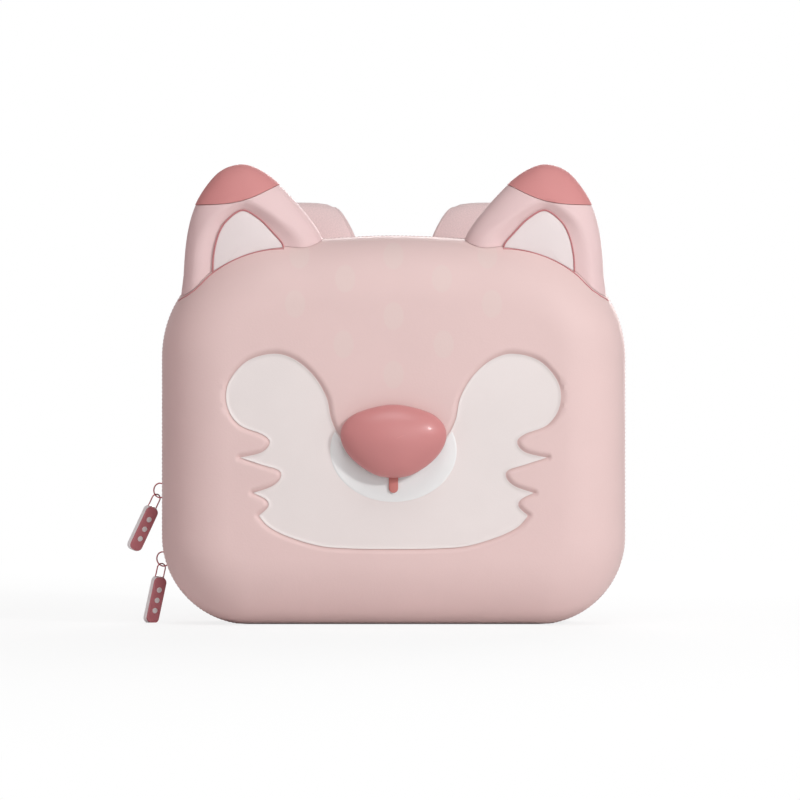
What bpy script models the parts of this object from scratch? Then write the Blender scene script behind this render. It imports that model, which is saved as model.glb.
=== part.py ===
"""Kids' hard-shell backpack with an animal face: two moulded shells joined by a zip and a cloth hinge.

Metres, +Z up. The face looks along -Y and +X is on the viewer's right. The origin is on the flat
underside of the rear shell, midway between its sides.
"""

import math

import bmesh
import bpy
from mathutils import Matrix, Vector

# Overall size of the closed shell
BODY_WIDTH = 0.280
BODY_HEIGHT = 0.2355
BOTTOM_RADIUS = 0.053
TOP_RADIUS = 0.074
FRONT_DEPTH = 0.052
REAR_DEPTH = 0.047

# Moulded shells
WALL = 0.0045
FRONT_FILLET = 0.040
FRONT_FILLET_DEPTH = 0.036
REAR_FILLET = 0.024
REAR_FILLET_DEPTH = 0.022
CORNER_STEPS = 8
FILLET_STEPS = 7

# Clearances
GAP = 0.0003
RUNNING_GAP = 0.0006
SEATED = 0.0003

# Zip: two chains with a slot between them, in the groove between the two rims
PARTING_Y = -0.016
ZIP_HALF = 0.009
TAPE_THICKNESS = 0.0008
TAPE_OVERLAP = 0.007
CHAIN_HEIGHT = 0.0012
CHAIN_WIDTH = 0.0024
CHAIN_SLOT = 0.0012
HINGE_LENGTH = 0.151
STOP_LENGTH = 0.004

# Lining
LINING = 0.0009

# Face
RECESS_DEPTH = 0.0032
PANEL_THICKNESS = 0.0008
MUZZLE_THICKNESS = 0.0005
MUZZLE_CENTRE_Z = 0.1055
MUZZLE_HALF_WIDTH = 0.038
MUZZLE_HALF_HEIGHT = 0.031
MOUTH_WIDTH = 0.0056
MOUTH_BOTTOM = 0.080
MOUTH_TOP = 0.0925
NOSE_HEIGHT = 0.016
NOSE_EDGE = 0.0035
NOSE_CENTRE_Z = 0.112

# Ears
EAR_THICKNESS = 0.034
EAR_FRONT_SHARE = 0.70
EAR_MIDDLE = (0.054, -0.0075)
EAR_CENTRE_Y = -0.046
EAR_RECESS = 0.0025
EAR_LINING_THICKNESS = 0.001
EAR_TRIM_WIDTH = 0.0009

# Zip pulls
SLIDER_LENGTH = 0.0115
SLIDER_WIDTH = 0.0086
SLIDER_PLATE = 0.0009
SLIDER_POST = 0.0006
BRIDGE_INNER_WIDTH = 0.0024
BRIDGE_INNER_HEIGHT = 0.0016
BRIDGE_BAR = 0.001
BRIDGE_LENGTH = 0.0024
RING_RADIUS = 0.0044
RING_LEAN = math.radians(27)
RING_HOLD = math.radians(60)
WIRE = 0.0010
PULL_WIRE_WIDTH = 0.0056
PULL_WIRE_LENGTH = 0.0075
TAG_WIDTH = 0.0089
TAG_LENGTH = 0.0295
TAG_THICKNESS = 0.0036
TAG_FACE_THICKNESS = 0.0012
TAG_FACE_SHARE = 0.97
TAG_TURN = math.radians(32)
UPPER_SLIDER_Z = 0.0805
LOWER_SLIDER_ANGLE = math.radians(15)
UPPER_TAG_TILT = math.radians(25)
LOWER_TAG_TILT = math.radians(12)

# Carrying gear on the back
PAD_THICKNESS = 0.006
PAD_EDGE = 0.0025
PAD_CORNER = 0.014
UPPER_PAD_SIZE = (0.082, 0.070)
UPPER_PAD_CENTRE = (0.050, 0.121)
LUMBAR_PAD_SIZE = (0.150, 0.046)
LUMBAR_PAD_Z = 0.056
YOKE_SIZE = (0.170, 0.024)
YOKE_Z = BODY_HEIGHT - 0.0375
YOKE_THICKNESS = 0.003
STRAP_WIDTH = 0.052
STRAP_THICKNESS = 0.009
STRAP_TOP_Z = BODY_HEIGHT + 0.0265
WEBBING_WIDTH = 0.020
WEBBING_THICKNESS = 0.0014
ADJUSTER_SIZE = (0.028, 0.0035, 0.019)
ADJUSTER_BAR = 0.003
ADJUSTER_X = 0.090
ADJUSTER_Z = 0.082
ADJUSTER_STAND_OFF = 0.020
TAIL_DROP = 0.040
WEBBING_BEND_X = 0.103
ANCHOR_X = 0.112
ANCHOR_Z = 0.030
ANCHOR_SIZE = (0.026, 0.024)
ANCHOR_THICKNESS = 0.003
HANDLE_SPAN = 0.028
HANDLE_DROP = 0.038
HANDLE_WIDTH = 0.009
HANDLE_THICKNESS = 0.006
POCKET_THICKNESS = 0.0009
POCKET_HEIGHT = 0.105
POCKET_MARGIN = 0.005
BINDING = 0.003

# Places that follow from the sizes above
HALF_WIDTH = BODY_WIDTH / 2
FRONT_RIM_Y = PARTING_Y - ZIP_HALF
REAR_RIM_Y = PARTING_Y + ZIP_HALF
FACE_Y = FRONT_RIM_Y - FRONT_DEPTH
BACK_Y = REAR_RIM_Y + REAR_DEPTH
TAPE_INSET = WALL + GAP
CHAIN_INSET = TAPE_INSET - CHAIN_HEIGHT
HINGE_Z = CHAIN_INSET - SEATED
UP = Vector((0, 0, 1))

COLOURS = {
    "shell_pink": ((0.75, 0.56, 0.54), 0.55, 0.0),
    "cream": ((0.80, 0.71, 0.69), 0.6, 0.0),
    "white": ((0.80, 0.80, 0.80), 0.5, 0.0),
    "nose_rose": ((0.60, 0.25, 0.24), 0.18, 0.0),
    "rose": ((0.50, 0.20, 0.20), 0.5, 0.0),
    "ear_pink": ((0.78, 0.60, 0.60), 0.6, 0.0),
    "lining_pink": ((0.70, 0.48, 0.48), 0.8, 0.0),
    "tape_pink": ((0.62, 0.36, 0.37), 0.8, 0.0),
    "mesh_pink": ((0.66, 0.42, 0.43), 0.9, 0.0),
    "metal_rose": ((0.45, 0.10, 0.12), 0.3, 0.4),
    "clear_white": ((0.85, 0.85, 0.85), 0.3, 0.0),
    "tag_rose": ((0.45, 0.16, 0.18), 0.45, 0.0),
}


def material(slot):
    """The named colour as a Principled material, made once."""
    found = bpy.data.materials.get(slot)
    if found:
        return found
    colour, roughness, metallic = COLOURS[slot]
    made = bpy.data.materials.new(slot)
    made.use_nodes = True
    surface = made.node_tree.nodes["Principled BSDF"]
    surface.inputs["Base Color"].default_value = (*colour, 1)
    surface.inputs["Roughness"].default_value = roughness
    surface.inputs["Metallic"].default_value = metallic
    return made


def object_from(name, bm, slot, pivot=None, angle=40):
    """A closed solid with its faces out, its origin at the pivot, in its own material."""
    bmesh.ops.recalc_face_normals(bm, faces=bm.faces)
    if pivot is not None:
        bmesh.ops.translate(bm, verts=bm.verts, vec=-Vector(pivot))
    mesh = bpy.data.meshes.new(name)
    bm.to_mesh(mesh)
    bm.free()
    mesh.shade_smooth()
    mesh.set_sharp_from_angle(angle=math.radians(angle))
    made = bpy.data.objects.new(name, mesh)
    bpy.context.collection.objects.link(made)
    if pivot is not None:
        made.location = pivot
    if slot:
        mesh.materials.append(material(slot))
    return made


def as_cutter(made):
    made.hide_render = True
    made.display_type = "WIRE"
    return made


def combine(made, other, operation):
    """A Boolean with a guide solid, which is left out of the part."""
    step = made.modifiers.new(operation.title(), "BOOLEAN")
    step.operation = operation
    step.solver = "EXACT"
    step.object = as_cutter(other)
    return made


def add_ring(bm, points):
    return [bm.verts.new(p) for p in points]


def loft(rings):
    """A solid through rings of points: quads between neighbours, and a cap on each end."""
    bm = bmesh.new()
    loops = [add_ring(bm, ring) for ring in rings]
    count = len(loops[0])
    for low, high in zip(loops, loops[1:]):
        for i in range(count):
            j = (i + 1) % count
            bm.faces.new((low[i], low[j], high[j], high[i]))
    bm.faces.new(loops[0])
    bm.faces.new(loops[-1])
    return bm


def smooth_outline(points, steps):
    """A Catmull-Rom curve through (x, z, is_corner) points, closed, with corners kept sharp."""
    curve = []
    count = len(points)
    for i in range(count):
        p1, p2 = points[i], points[(i + 1) % count]
        p0 = p1 if p1[2] else points[i - 1]
        p3 = p2 if p2[2] else points[(i + 2) % count]
        for k in range(steps):
            t = k / steps
            curve.append(
                tuple(
                    0.5
                    * (
                        2 * p1[a]
                        + (p2[a] - p0[a]) * t
                        + (2 * p0[a] - 5 * p1[a] + 4 * p2[a] - p3[a]) * t * t
                        + (3 * p1[a] - p0[a] - 3 * p2[a] + p3[a]) * t**3
                    )
                    for a in (0, 1)
                )
            )
    return curve


def inset_outline(outline, distance):
    """An anticlockwise (x, z) outline moved inwards, or outwards for a negative distance."""
    moved = []
    count = len(outline)
    for i in range(count):
        before, here, after = outline[i - 1], outline[i], outline[(i + 1) % count]
        first = Vector((here[0] - before[0], here[1] - before[1])).normalized()
        second = Vector((after[0] - here[0], after[1] - here[1])).normalized()
        across = (first + second).normalized()
        reach = distance / max(across.dot(first), 0.5)
        moved.append((here[0] - across.y * reach, here[1] + across.x * reach))
    return moved


def mirrored(points):
    """A right half from the top middle to the bottom middle, completed on the left."""
    left = [(-p[0],) + tuple(p[1:]) for p in reversed(points) if abs(p[0]) > 1e-9]
    return points + left


def flipped(outline):
    """The same outline on the other side of the middle, still anticlockwise."""
    return [(-p[0],) + tuple(p[1:]) for p in reversed(outline)]


def plate(outline, y_front, y_back):
    return loft([[(x, y, z) for x, z in outline] for y in (y_back, y_front)])


def box(size, centre, turn=None):
    """A box about its centre, turned by a matrix about the same point."""
    bm = bmesh.new()
    bmesh.ops.create_cube(bm, size=1)
    bmesh.ops.scale(bm, vec=size, verts=bm.verts)
    if turn:
        bmesh.ops.rotate(bm, matrix=turn, verts=bm.verts)
    bmesh.ops.translate(bm, vec=centre, verts=bm.verts)
    return bm


def edge_path(start_x):
    """The shell's outline clockwise from the front, from -start_x to +start_x by way of the top.

    Each entry is a point (x, z) and its outward normal.
    """
    low, high = BOTTOM_RADIUS, TOP_RADIUS
    corners = (
        (-HALF_WIDTH + low, low, low, 270),
        (-HALF_WIDTH + high, BODY_HEIGHT - high, high, 180),
        (HALF_WIDTH - high, BODY_HEIGHT - high, high, 90),
        (HALF_WIDTH - low, low, low, 0),
    )
    path = [(-start_x, 0.0, 0.0, -1.0)]
    for x, z, radius, start in corners:
        for i in range(CORNER_STEPS + 1):
            a = math.radians(start - 90 * i / CORNER_STEPS)
            path.append((x + radius * math.cos(a), z + radius * math.sin(a), math.cos(a), math.sin(a)))
    if start_x > 0:
        path.append((start_x, 0.0, 0.0, -1.0))
    return path


def shell_ring(inset, y):
    """One ring of the shell's outline, closed at the bottom middle."""
    return [(x - nx * inset, y, z - nz * inset) for x, z, nx, nz in edge_path(0.0)]


def shell_profile(rim_y, face_y, fillet, fillet_depth, inset, thickness_y):
    """(inset, y) from the rim to the face, for a skin moved in from the outer surface."""
    side = math.copysign(1, face_y - rim_y)
    start_y = face_y - side * fillet_depth
    reach = fillet_depth - thickness_y
    steps = [(inset, rim_y)]
    for i in range(FILLET_STEPS + 1):
        a = math.radians(90 * i / FILLET_STEPS)
        steps.append((inset + (fillet - inset) * (1 - math.cos(a)), start_y + side * reach * math.sin(a)))
    return steps


def moulded_skin(rim_y, face_y, fillet, fillet_depth, outer, thickness):
    """A shell open at its rim: outer surface, rim and inner surface in one loft."""
    outside = shell_profile(rim_y, face_y, fillet, fillet_depth, outer, outer)
    inside = shell_profile(rim_y, face_y, fillet, fillet_depth, outer + thickness, outer + thickness)
    rings = [shell_ring(*step) for step in reversed(inside)] + [shell_ring(*step) for step in outside]
    return loft(rings)


def envelope(margin):
    """The space that the front shell takes up, with a margin all round it."""
    steps = shell_profile(FRONT_RIM_Y + ZIP_HALF, FACE_Y, FRONT_FILLET, FRONT_FILLET_DEPTH, -margin, -margin)
    return loft([shell_ring(*step) for step in steps])


def face_outline():
    """The sunk cheek area: two lobes, three points of fur on each cheek, and a rounded chin."""
    half = [
        (0.0, 0.1010, False),
        (0.0200, 0.1045, False),
        (0.0318, 0.1139, False),
        (0.0372, 0.1240, False),
        (0.0400, 0.1370, False),
        (0.0475, 0.1500, False),
        (0.0590, 0.1600, False),
        (0.0720, 0.1636, False),
        (0.0880, 0.1590, False),
        (0.0990, 0.1460, False),
        (0.0998, 0.1320, False),
        (0.0925, 0.1208, False),
        (0.0790, 0.1152, False),
        (0.0742, 0.1105, False),
        (0.0790, 0.1045, False),
        (0.0924, 0.1012, True),
        (0.0790, 0.0968, False),
        (0.0688, 0.0935, False),
        (0.0678, 0.0890, False),
        (0.0730, 0.0840, False),
        (0.0845, 0.0800, True),
        (0.0765, 0.0760, False),
        (0.0752, 0.0717, False),
        (0.0809, 0.0664, True),
        (0.0745, 0.0594, False),
        (0.0621, 0.0533, False),
        (0.0433, 0.0479, False),
        (0.0221, 0.0464, False),
        (0.0, 0.0462, False),
    ]
    return list(reversed(smooth_outline(mirrored(half), 3)))


def nose_outline():
    half = [
        (0.0, 0.1330, False),
        (0.0200, 0.1288, False),
        (0.0292, 0.1222, False),
        (0.0318, 0.1140, False),
        (0.0284, 0.1048, False),
        (0.0204, 0.0965, False),
        (0.0100, 0.0905, False),
        (0.0, 0.0891, False),
    ]
    return list(reversed(smooth_outline(mirrored(half), 3)))


def from_corner(points):
    """Points given from the shell's top left corner, moved to where that corner is."""
    return [(p[0] - HALF_WIDTH, p[1] + BODY_HEIGHT) + tuple(p[2:]) for p in points]


def ear_outline():
    """The left ear, anticlockwise, carried on below the shell's edge so that the shell can cut it."""
    points = [
        (0.0470, 0.0439, False),
        (0.0325, 0.0383, False),
        (0.0210, 0.0230, False),
        (0.0145, 0.0035, False),
        (0.0118, -0.0222, False),
        (0.0125, -0.0475, False),
        (0.0400, -0.0555, False),
        (0.0800, -0.0305, False),
        (0.0960, -0.0125, False),
        (0.0965, -0.0015, False),
        (0.0855, 0.0150, False),
        (0.0710, 0.0317, False),
        (0.0590, 0.0407, False),
    ]
    return smooth_outline(from_corner(points), 3)


def ear_lining_outline():
    """The left ear's sunk lining, anticlockwise."""
    points = [
        (0.0488, 0.0150, False),
        (0.0390, 0.0085, False),
        (0.0338, -0.0005, False),
        (0.0310, -0.0131, False),
        (0.0306, -0.0275, True),
        (0.0743, -0.0135, True),
        (0.0736, -0.0060, False),
        (0.0676, 0.0014, False),
        (0.0591, 0.0099, False),
    ]
    return smooth_outline(from_corner(points), 3)


def ear_tip_region(shift):
    """All that lies above the curve where the ear's tip changes colour, moved up by the shift."""
    curve = [(0.0100, 0.0184), (0.0300, 0.0181), (0.0430, 0.0191), (0.0540, 0.0220)]
    curve += [(0.0650, 0.0272), (0.0760, 0.0335), (0.0900, 0.0415), (0.0900, 0.0645), (0.0100, 0.0645)]
    return [(x, z + shift) for x, z in from_corner(curve)]


def make_front_shell():
    bm = moulded_skin(FRONT_RIM_Y, FACE_Y, FRONT_FILLET, FRONT_FILLET_DEPTH, 0.0, WALL)
    shell = object_from("front_shell", bm, "shell_pink")
    recess = object_from("face_recess", plate(face_outline(), FACE_Y - WALL, FACE_Y + RECESS_DEPTH), None)
    return combine(shell, recess, "DIFFERENCE")


def make_rear_shell():
    bm = moulded_skin(REAR_RIM_Y, BACK_Y, REAR_FILLET, REAR_FILLET_DEPTH, 0.0, WALL)
    return object_from("rear_shell", bm, "shell_pink")


def make_lining(name, rim_y, face_y, fillet, fillet_depth):
    """A cloth skin inside a shell, stopping short of the rim by the tape's overlap."""
    side = math.copysign(1, face_y - rim_y)
    edge_y = rim_y + side * (TAPE_OVERLAP + GAP)
    bm = moulded_skin(edge_y, face_y, fillet, fillet_depth, WALL + GAP, LINING)
    return object_from(name, bm, "lining_pink")


def sweep_on_edge(section, start_x):
    """A section of (inset, y) points carried along the shell's outline."""
    path = edge_path(start_x)
    return loft([[(x - nx * i, y, z - nz * i) for i, y in section] for x, z, nx, nz in path])


def make_zip_chain(name, rim_y):
    """Tape sewn inside the rim, with a row of teeth along its free edge."""
    side = math.copysign(1, rim_y - PARTING_Y)
    free_edge = PARTING_Y + side * CHAIN_SLOT / 2
    chain_back = free_edge + side * CHAIN_WIDTH
    tape_back = rim_y + side * TAPE_OVERLAP
    under = TAPE_INSET + TAPE_THICKNESS
    section = [
        (CHAIN_INSET, free_edge),
        (CHAIN_INSET, chain_back),
        (TAPE_INSET, chain_back),
        (TAPE_INSET, tape_back),
        (under, tape_back),
        (under, free_edge),
    ]
    return object_from(name, sweep_on_edge(section, HINGE_LENGTH / 2 + GAP), "tape_pink", angle=30)


def make_hinge_tape(name, rim_y):
    """Half of the cloth hinge under the bag: sewn inside the rim, folding at the hinge line."""
    side = math.copysign(1, rim_y - PARTING_Y)
    fold = PARTING_Y + side * GAP / 2
    lip = rim_y - side * GAP * 2
    tape_back = rim_y + side * TAPE_OVERLAP
    low = HINGE_Z
    section = [
        (fold, low),
        (lip - side * WALL / 2, low),
        (lip, TAPE_INSET),
        (tape_back, TAPE_INSET),
        (tape_back, TAPE_INSET + TAPE_THICKNESS),
        (lip, TAPE_INSET + TAPE_THICKNESS),
        (lip - side * WALL / 2, low + TAPE_THICKNESS),
        (fold, low + TAPE_THICKNESS),
    ]
    half = HINGE_LENGTH / 2 - GAP
    bm = loft([[(x, y, z) for y, z in section] for x in (-half, half)])
    return object_from(name, bm, "tape_pink", angle=30)


def make_zip_stop(name, side):
    """A block on the rear chain at the end of the zip, beside the hinge."""
    x = side * (HINGE_LENGTH / 2 + GAP + STOP_LENGTH / 2 + STOP_LENGTH)
    width = CHAIN_WIDTH
    top = CHAIN_INSET - GAP
    height = CHAIN_HEIGHT
    centre = (x, PARTING_Y + CHAIN_SLOT / 2 + width / 2, top - height / 2)
    return object_from(name, box((STOP_LENGTH, width, height), centre), "metal_rose")


def make_face():
    """What is set into the front shell: the cream cheeks, white muzzle, mouth and nose."""
    floor = FACE_Y + RECESS_DEPTH
    panel_front = floor - SEATED - PANEL_THICKNESS
    fitted = inset_outline(face_outline(), GAP)
    object_from("face_panel", plate(fitted, panel_front, floor - SEATED), "cream")

    muzzle_back = panel_front - SEATED
    ellipse = []
    for i in range(40):
        a = 2 * math.pi * i / 40
        z = MUZZLE_CENTRE_Z + MUZZLE_HALF_HEIGHT * math.sin(a)
        ellipse.append((MUZZLE_HALF_WIDTH * math.cos(a), z))
    muzzle_front = muzzle_back - MUZZLE_THICKNESS
    muzzle = object_from("muzzle_patch", plate(ellipse, muzzle_front, muzzle_back), "white")
    guide = object_from("muzzle_guide", plate(fitted, muzzle_front - WALL, muzzle_back + WALL), None)
    combine(muzzle, guide, "INTERSECT")

    radius = MOUTH_WIDTH / 2
    bar = [(radius, MOUTH_TOP), (-radius, MOUTH_TOP)]
    for i in range(9):
        a = math.pi + math.pi * i / 8
        bar.append((radius * math.cos(a), MOUTH_BOTTOM + radius + radius * math.sin(a)))
    object_from("mouth_bar", plate(bar, FACE_Y, muzzle_front - SEATED), "rose")

    rings = []
    base_y = FACE_Y - SEATED
    for scale, depth in ((0.90, 0.0), (0.97, 0.0012), (1.0, NOSE_EDGE)):
        rings.append((scale, base_y - depth))
    rounded_from = base_y - NOSE_EDGE
    dome = NOSE_HEIGHT - NOSE_EDGE
    for i in range(1, 7):
        a = math.radians(90 * i / 6.6)
        rings.append((math.cos(a), rounded_from - dome * math.sin(a)))
    outline = nose_outline()
    shape = [
        [(x * s, y, NOSE_CENTRE_Z + (z - NOSE_CENTRE_Z) * s) for x, z in outline] for s, y in rings
    ]
    object_from("nose", loft(shape), "nose_rose", angle=60)


def make_ear(side_name, is_right):
    """A puffed ear seated on the front shell, with a coloured tip and a sunk lining."""

    def placed(outline):
        return flipped(outline) if is_right else outline

    front_y = EAR_CENTRE_Y - EAR_THICKNESS / 2
    floor_y = front_y + EAR_RECESS

    def pillow():
        mid_x, mid_z = from_corner([EAR_MIDDLE])[0]
        rings = []
        for i in range(-4, 5):
            a = math.radians(90 * i / 4)
            share = 1 - (1 - EAR_FRONT_SHARE) * (1 - math.cos(a))
            y = EAR_CENTRE_Y + EAR_THICKNESS / 2 * math.sin(a)
            drawn_in = [(mid_x + (x - mid_x) * share, mid_z + (z - mid_z) * share) for x, z in ear_outline()]
            rings.append([(x, y, z) for x, z in placed(drawn_in)])
        return loft(rings)

    def guide(name, bm):
        return object_from(f"{side_name}_{name}", bm, None)

    back_y, before_y = EAR_CENTRE_Y + EAR_THICKNESS, front_y - WALL
    seat = guide("ear_seat", envelope(SEATED))
    hollow = placed(ear_lining_outline())
    body = object_from(f"{side_name}_ear", pillow(), "ear_pink")
    combine(body, guide("ear_cap", plate(placed(ear_tip_region(-GAP / 2)), before_y, back_y)), "DIFFERENCE")
    combine(body, guide("ear_hollow", plate(hollow, before_y, floor_y)), "DIFFERENCE")
    combine(body, seat, "DIFFERENCE")

    tip = object_from(f"{side_name}_ear_tip", pillow(), "rose")
    above = plate(placed(ear_tip_region(GAP / 2)), before_y, back_y)
    combine(tip, guide("ear_cap_space", above), "INTERSECT")

    back = floor_y - SEATED
    trim_inside = inset_outline(hollow, GAP + EAR_TRIM_WIDTH)
    lining = object_from(
        f"{side_name}_ear_lining",
        plate(inset_outline(hollow, EAR_TRIM_WIDTH + 2 * GAP), back - EAR_LINING_THICKNESS, back),
        "cream",
    )
    combine(lining, seat, "DIFFERENCE")
    outer = inset_outline(hollow, GAP)
    trim_front = back - EAR_RECESS + SEATED
    trim = object_from(f"{side_name}_ear_trim", plate(outer, trim_front, back), "rose")
    combine(trim, guide("trim_hole", plate(trim_inside, trim_front - WALL, back + WALL)), "DIFFERENCE")
    combine(trim, seat, "DIFFERENCE")


def tube(points, radius, sides, is_loop):
    """A round wire through points, closed on itself or capped."""
    bm = bmesh.new()
    count = len(points)
    loops = []
    side = None
    for i, p in enumerate(points):
        before = points[i - 1] if (i or is_loop) else p
        after = points[(i + 1) % count] if (i < count - 1 or is_loop) else p
        along = (after - before).normalized()
        if side is None:
            side = along.orthogonal().normalized()
        side = (side - along * side.dot(along)).normalized()
        other = along.cross(side)
        ring = []
        for k in range(sides):
            a = 2 * math.pi * k / sides
            ring.append(p + (side * math.cos(a) + other * math.sin(a)) * radius)
        loops.append(add_ring(bm, ring))
    pairs = list(zip(loops, loops[1:]))
    if is_loop:
        pairs.append((loops[-1], loops[0]))
    for low, high in pairs:
        for k in range(sides):
            j = (k + 1) % sides
            bm.faces.new((low[k], low[j], high[j], high[k]))
    if not is_loop:
        bm.faces.new(loops[0])
        bm.faces.new(loops[-1])
    return bm


def make_pull(name, foot, normal, tilt):
    """A slider on the chains with its ring, wire loop and tag. The foot is on the shell's outline."""
    along = Vector((-normal.z, 0, normal.x))
    if along.z < 0:
        along = -along
    across = Vector((0, 1, 0))
    turn = Matrix((normal, across, along)).transposed()

    def at(out, y, up):
        return foot + normal * out + across * y + along * up

    plate_in = CHAIN_INSET - RUNNING_GAP
    plate_out = plate_in - SLIDER_PLATE
    under_out = TAPE_INSET + TAPE_THICKNESS + RUNNING_GAP
    under_in = under_out + SLIDER_PLATE
    top = box(
        (SLIDER_PLATE, SLIDER_WIDTH, SLIDER_LENGTH),
        at(-(plate_in + plate_out) / 2, 0, 0),
        turn,
    )
    bmesh.ops.bevel(top, geom=top.edges, offset=SLIDER_PLATE / 4, segments=1, affect="EDGES")
    slider = object_from(name, top, "metal_rose", pivot=foot, angle=30)
    post_length = SLIDER_LENGTH / 3
    pieces = {
        "under": box(
            (SLIDER_PLATE, SLIDER_WIDTH * 0.8, SLIDER_LENGTH * 0.8),
            at(-(under_in + under_out) / 2, 0, 0),
            turn,
        ),
        "post": box(
            (under_in - plate_out - SLIDER_PLATE, SLIDER_POST, post_length),
            at(-(under_in + plate_out) / 2, 0, 0),
            turn,
        ),
    }
    leg_height = SLIDER_PLATE / 2 + BRIDGE_INNER_HEIGHT + BRIDGE_BAR * 0.6
    leg_out = -(plate_out + SLIDER_PLATE / 2) + leg_height / 2
    for label, side in (("leg_a", -1), ("leg_b", 1)):
        pieces[label] = box(
            (leg_height, BRIDGE_BAR, BRIDGE_LENGTH * 0.9),
            at(leg_out, side * (BRIDGE_INNER_WIDTH + BRIDGE_BAR) / 2, 0),
            turn,
        )
    bar_out = -plate_out + BRIDGE_INNER_HEIGHT + BRIDGE_BAR / 2
    bar_width = BRIDGE_INNER_WIDTH + 2.3 * BRIDGE_BAR
    pieces["bar"] = box((BRIDGE_BAR, bar_width, BRIDGE_LENGTH), at(bar_out, 0, 0), turn)
    for label, bm in pieces.items():
        combine(slider, object_from(f"{name}_{label}", bm, None), "UNION")

    eye = at(-plate_out + BRIDGE_INNER_HEIGHT / 2, 0, 0)
    outward = normal * math.cos(RING_LEAN) + across * math.sin(RING_LEAN)
    ring_centre = eye + outward * RING_RADIUS
    ring_points = []
    for i in range(24):
        a = 2 * math.pi * (i + 0.5) / 24
        ring_points.append(ring_centre + (outward * math.cos(a) + along * math.sin(a)) * RING_RADIUS)
    ring = tube(ring_points, WIRE / 2, 6, True)
    object_from(f"{name}_ring", ring, "metal_rose", pivot=eye, angle=60)

    joint = ring_centre + (outward * math.cos(RING_HOLD) - along * math.sin(RING_HOLD)) * RING_RADIUS
    down = Vector((-math.sin(tilt), 0, -math.cos(tilt)))
    sideways = Vector((math.cos(tilt), 0, -math.sin(tilt)))
    wide = sideways * math.cos(TAG_TURN) + Vector((0, 1, 0)) * math.sin(TAG_TURN)
    facing = wide.cross(down)
    if facing.y > 0:
        facing = -facing
    half = PULL_WIRE_WIDTH / 2
    apex = joint - down * WIRE * 1.4
    points = []
    leg_end = apex + down * PULL_WIRE_LENGTH
    points.append(leg_end - wide * half)
    for i in range(9):
        a = math.pi * i / 8
        points.append(apex + down * (half - half * math.sin(a)) - wide * half * math.cos(a))
    points.append(leg_end + wide * half)
    object_from(f"{name}_wire", tube(points, WIRE / 2, 6, False), "metal_rose", pivot=joint, angle=60)

    head = leg_end + down * GAP
    tag_frame = Matrix((wide, -facing, -down)).transposed()
    outline = rounded_rectangle(TAG_WIDTH, TAG_LENGTH, TAG_WIDTH * 0.38, 5)

    def slab(low, high, scale):
        rings = []
        for y in (high, low):
            ring = []
            for x, z in outline:
                local = Vector((x * scale, y, (z - TAG_LENGTH / 2) * scale - TAG_LENGTH * (1 - scale) / 2))
                ring.append(head + tag_frame @ local)
            rings.append(ring)
        return loft(rings)

    body_half = TAG_THICKNESS / 2
    object_from(f"{name}_tag", slab(-body_half, body_half, 1.0), "clear_white", pivot=joint)
    face = slab(-body_half - GAP - TAG_FACE_THICKNESS, -body_half - GAP, TAG_FACE_SHARE)
    object_from(f"{name}_tag_face", face, "tag_rose", pivot=joint)


def rounded_rectangle(width, height, radius, steps):
    """An anticlockwise (x, z) rectangle about the origin with round corners."""
    points = []
    for cx, cz, start in ((1, 1, 0), (-1, 1, 90), (-1, -1, 180), (1, -1, 270)):
        for i in range(steps + 1):
            a = math.radians(start + 90 * i / steps)
            x = cx * (width / 2 - radius) + radius * math.cos(a)
            z = cz * (height / 2 - radius) + radius * math.sin(a)
            points.append((x, z))
    return points


def make_pad(name, size, centre):
    """A cushion on the rear shell's flat back, with its edge rounded over."""
    outline = rounded_rectangle(size[0], size[1], PAD_CORNER, 5)
    outline = [(x + centre[0], z + centre[1]) for x, z in outline]
    back = BACK_Y + SEATED
    rings = []
    for inset, y in (
        (0, back),
        (0, back + PAD_THICKNESS - PAD_EDGE),
        (PAD_EDGE * 0.3, back + PAD_THICKNESS - PAD_EDGE * 0.3),
        (PAD_EDGE, back + PAD_THICKNESS),
    ):
        rings.append([(x, y, z) for x, z in inset_outline(outline, inset)])
    object_from(name, loft(rings), "mesh_pink")


def band(path, width, thickness, edge):
    """A flat strap along 3-D points, its width lying as near to X as the path allows."""
    rings = []
    count = len(path)
    for i, p in enumerate(path):
        along = (path[min(i + 1, count - 1)] - path[max(i - 1, 0)]).normalized()
        wide = Vector((1, 0, 0))
        wide = (wide - along * wide.dot(along)).normalized()
        thick = wide.cross(along)
        half, up = width / 2, thickness / 2
        section = [(-half, -up + edge), (-half, up - edge), (-half + edge, up), (half - edge, up)]
        section += [(half, up - edge), (half, -up + edge), (half - edge, -up), (-half + edge, -up)]
        rings.append([p + wide * a + thick * b for a, b in section])
    return loft(rings)


def cord_band(path, half_width, half_thickness):
    """A flat loop lying in an XZ plane: its width in that plane and its thickness along Y."""
    rings = []
    count = len(path)
    for i, p in enumerate(path):
        along = (path[min(i + 1, count - 1)] - path[max(i - 1, 0)]).normalized()
        wide = Vector((along.z, 0, -along.x))
        ring = []
        for k in range(8):
            a = 2 * math.pi * (k + 0.5) / 8
            offset = wide * half_width * math.cos(a)
            ring.append(p + offset + Vector((0, half_thickness * math.sin(a), 0)))
        rings.append(ring)
    return loft(rings)


def smooth_path(points, steps):
    """An open Catmull-Rom curve through 3-D points."""
    path = []
    count = len(points)
    for i in range(count - 1):
        p1, p2 = points[i], points[i + 1]
        p0 = points[i - 1] if i else p1
        p3 = points[i + 2] if i + 2 < count else p2
        for k in range(steps):
            t = k / steps
            path.append(
                0.5
                * (
                    2 * p1
                    + (p2 - p0) * t
                    + (2 * p0 - 5 * p1 + 4 * p2 - p3) * t * t
                    + (3 * p1 - p0 - 3 * p2 + p3) * t**3
                )
            )
    path.append(points[-1])
    return path


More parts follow.
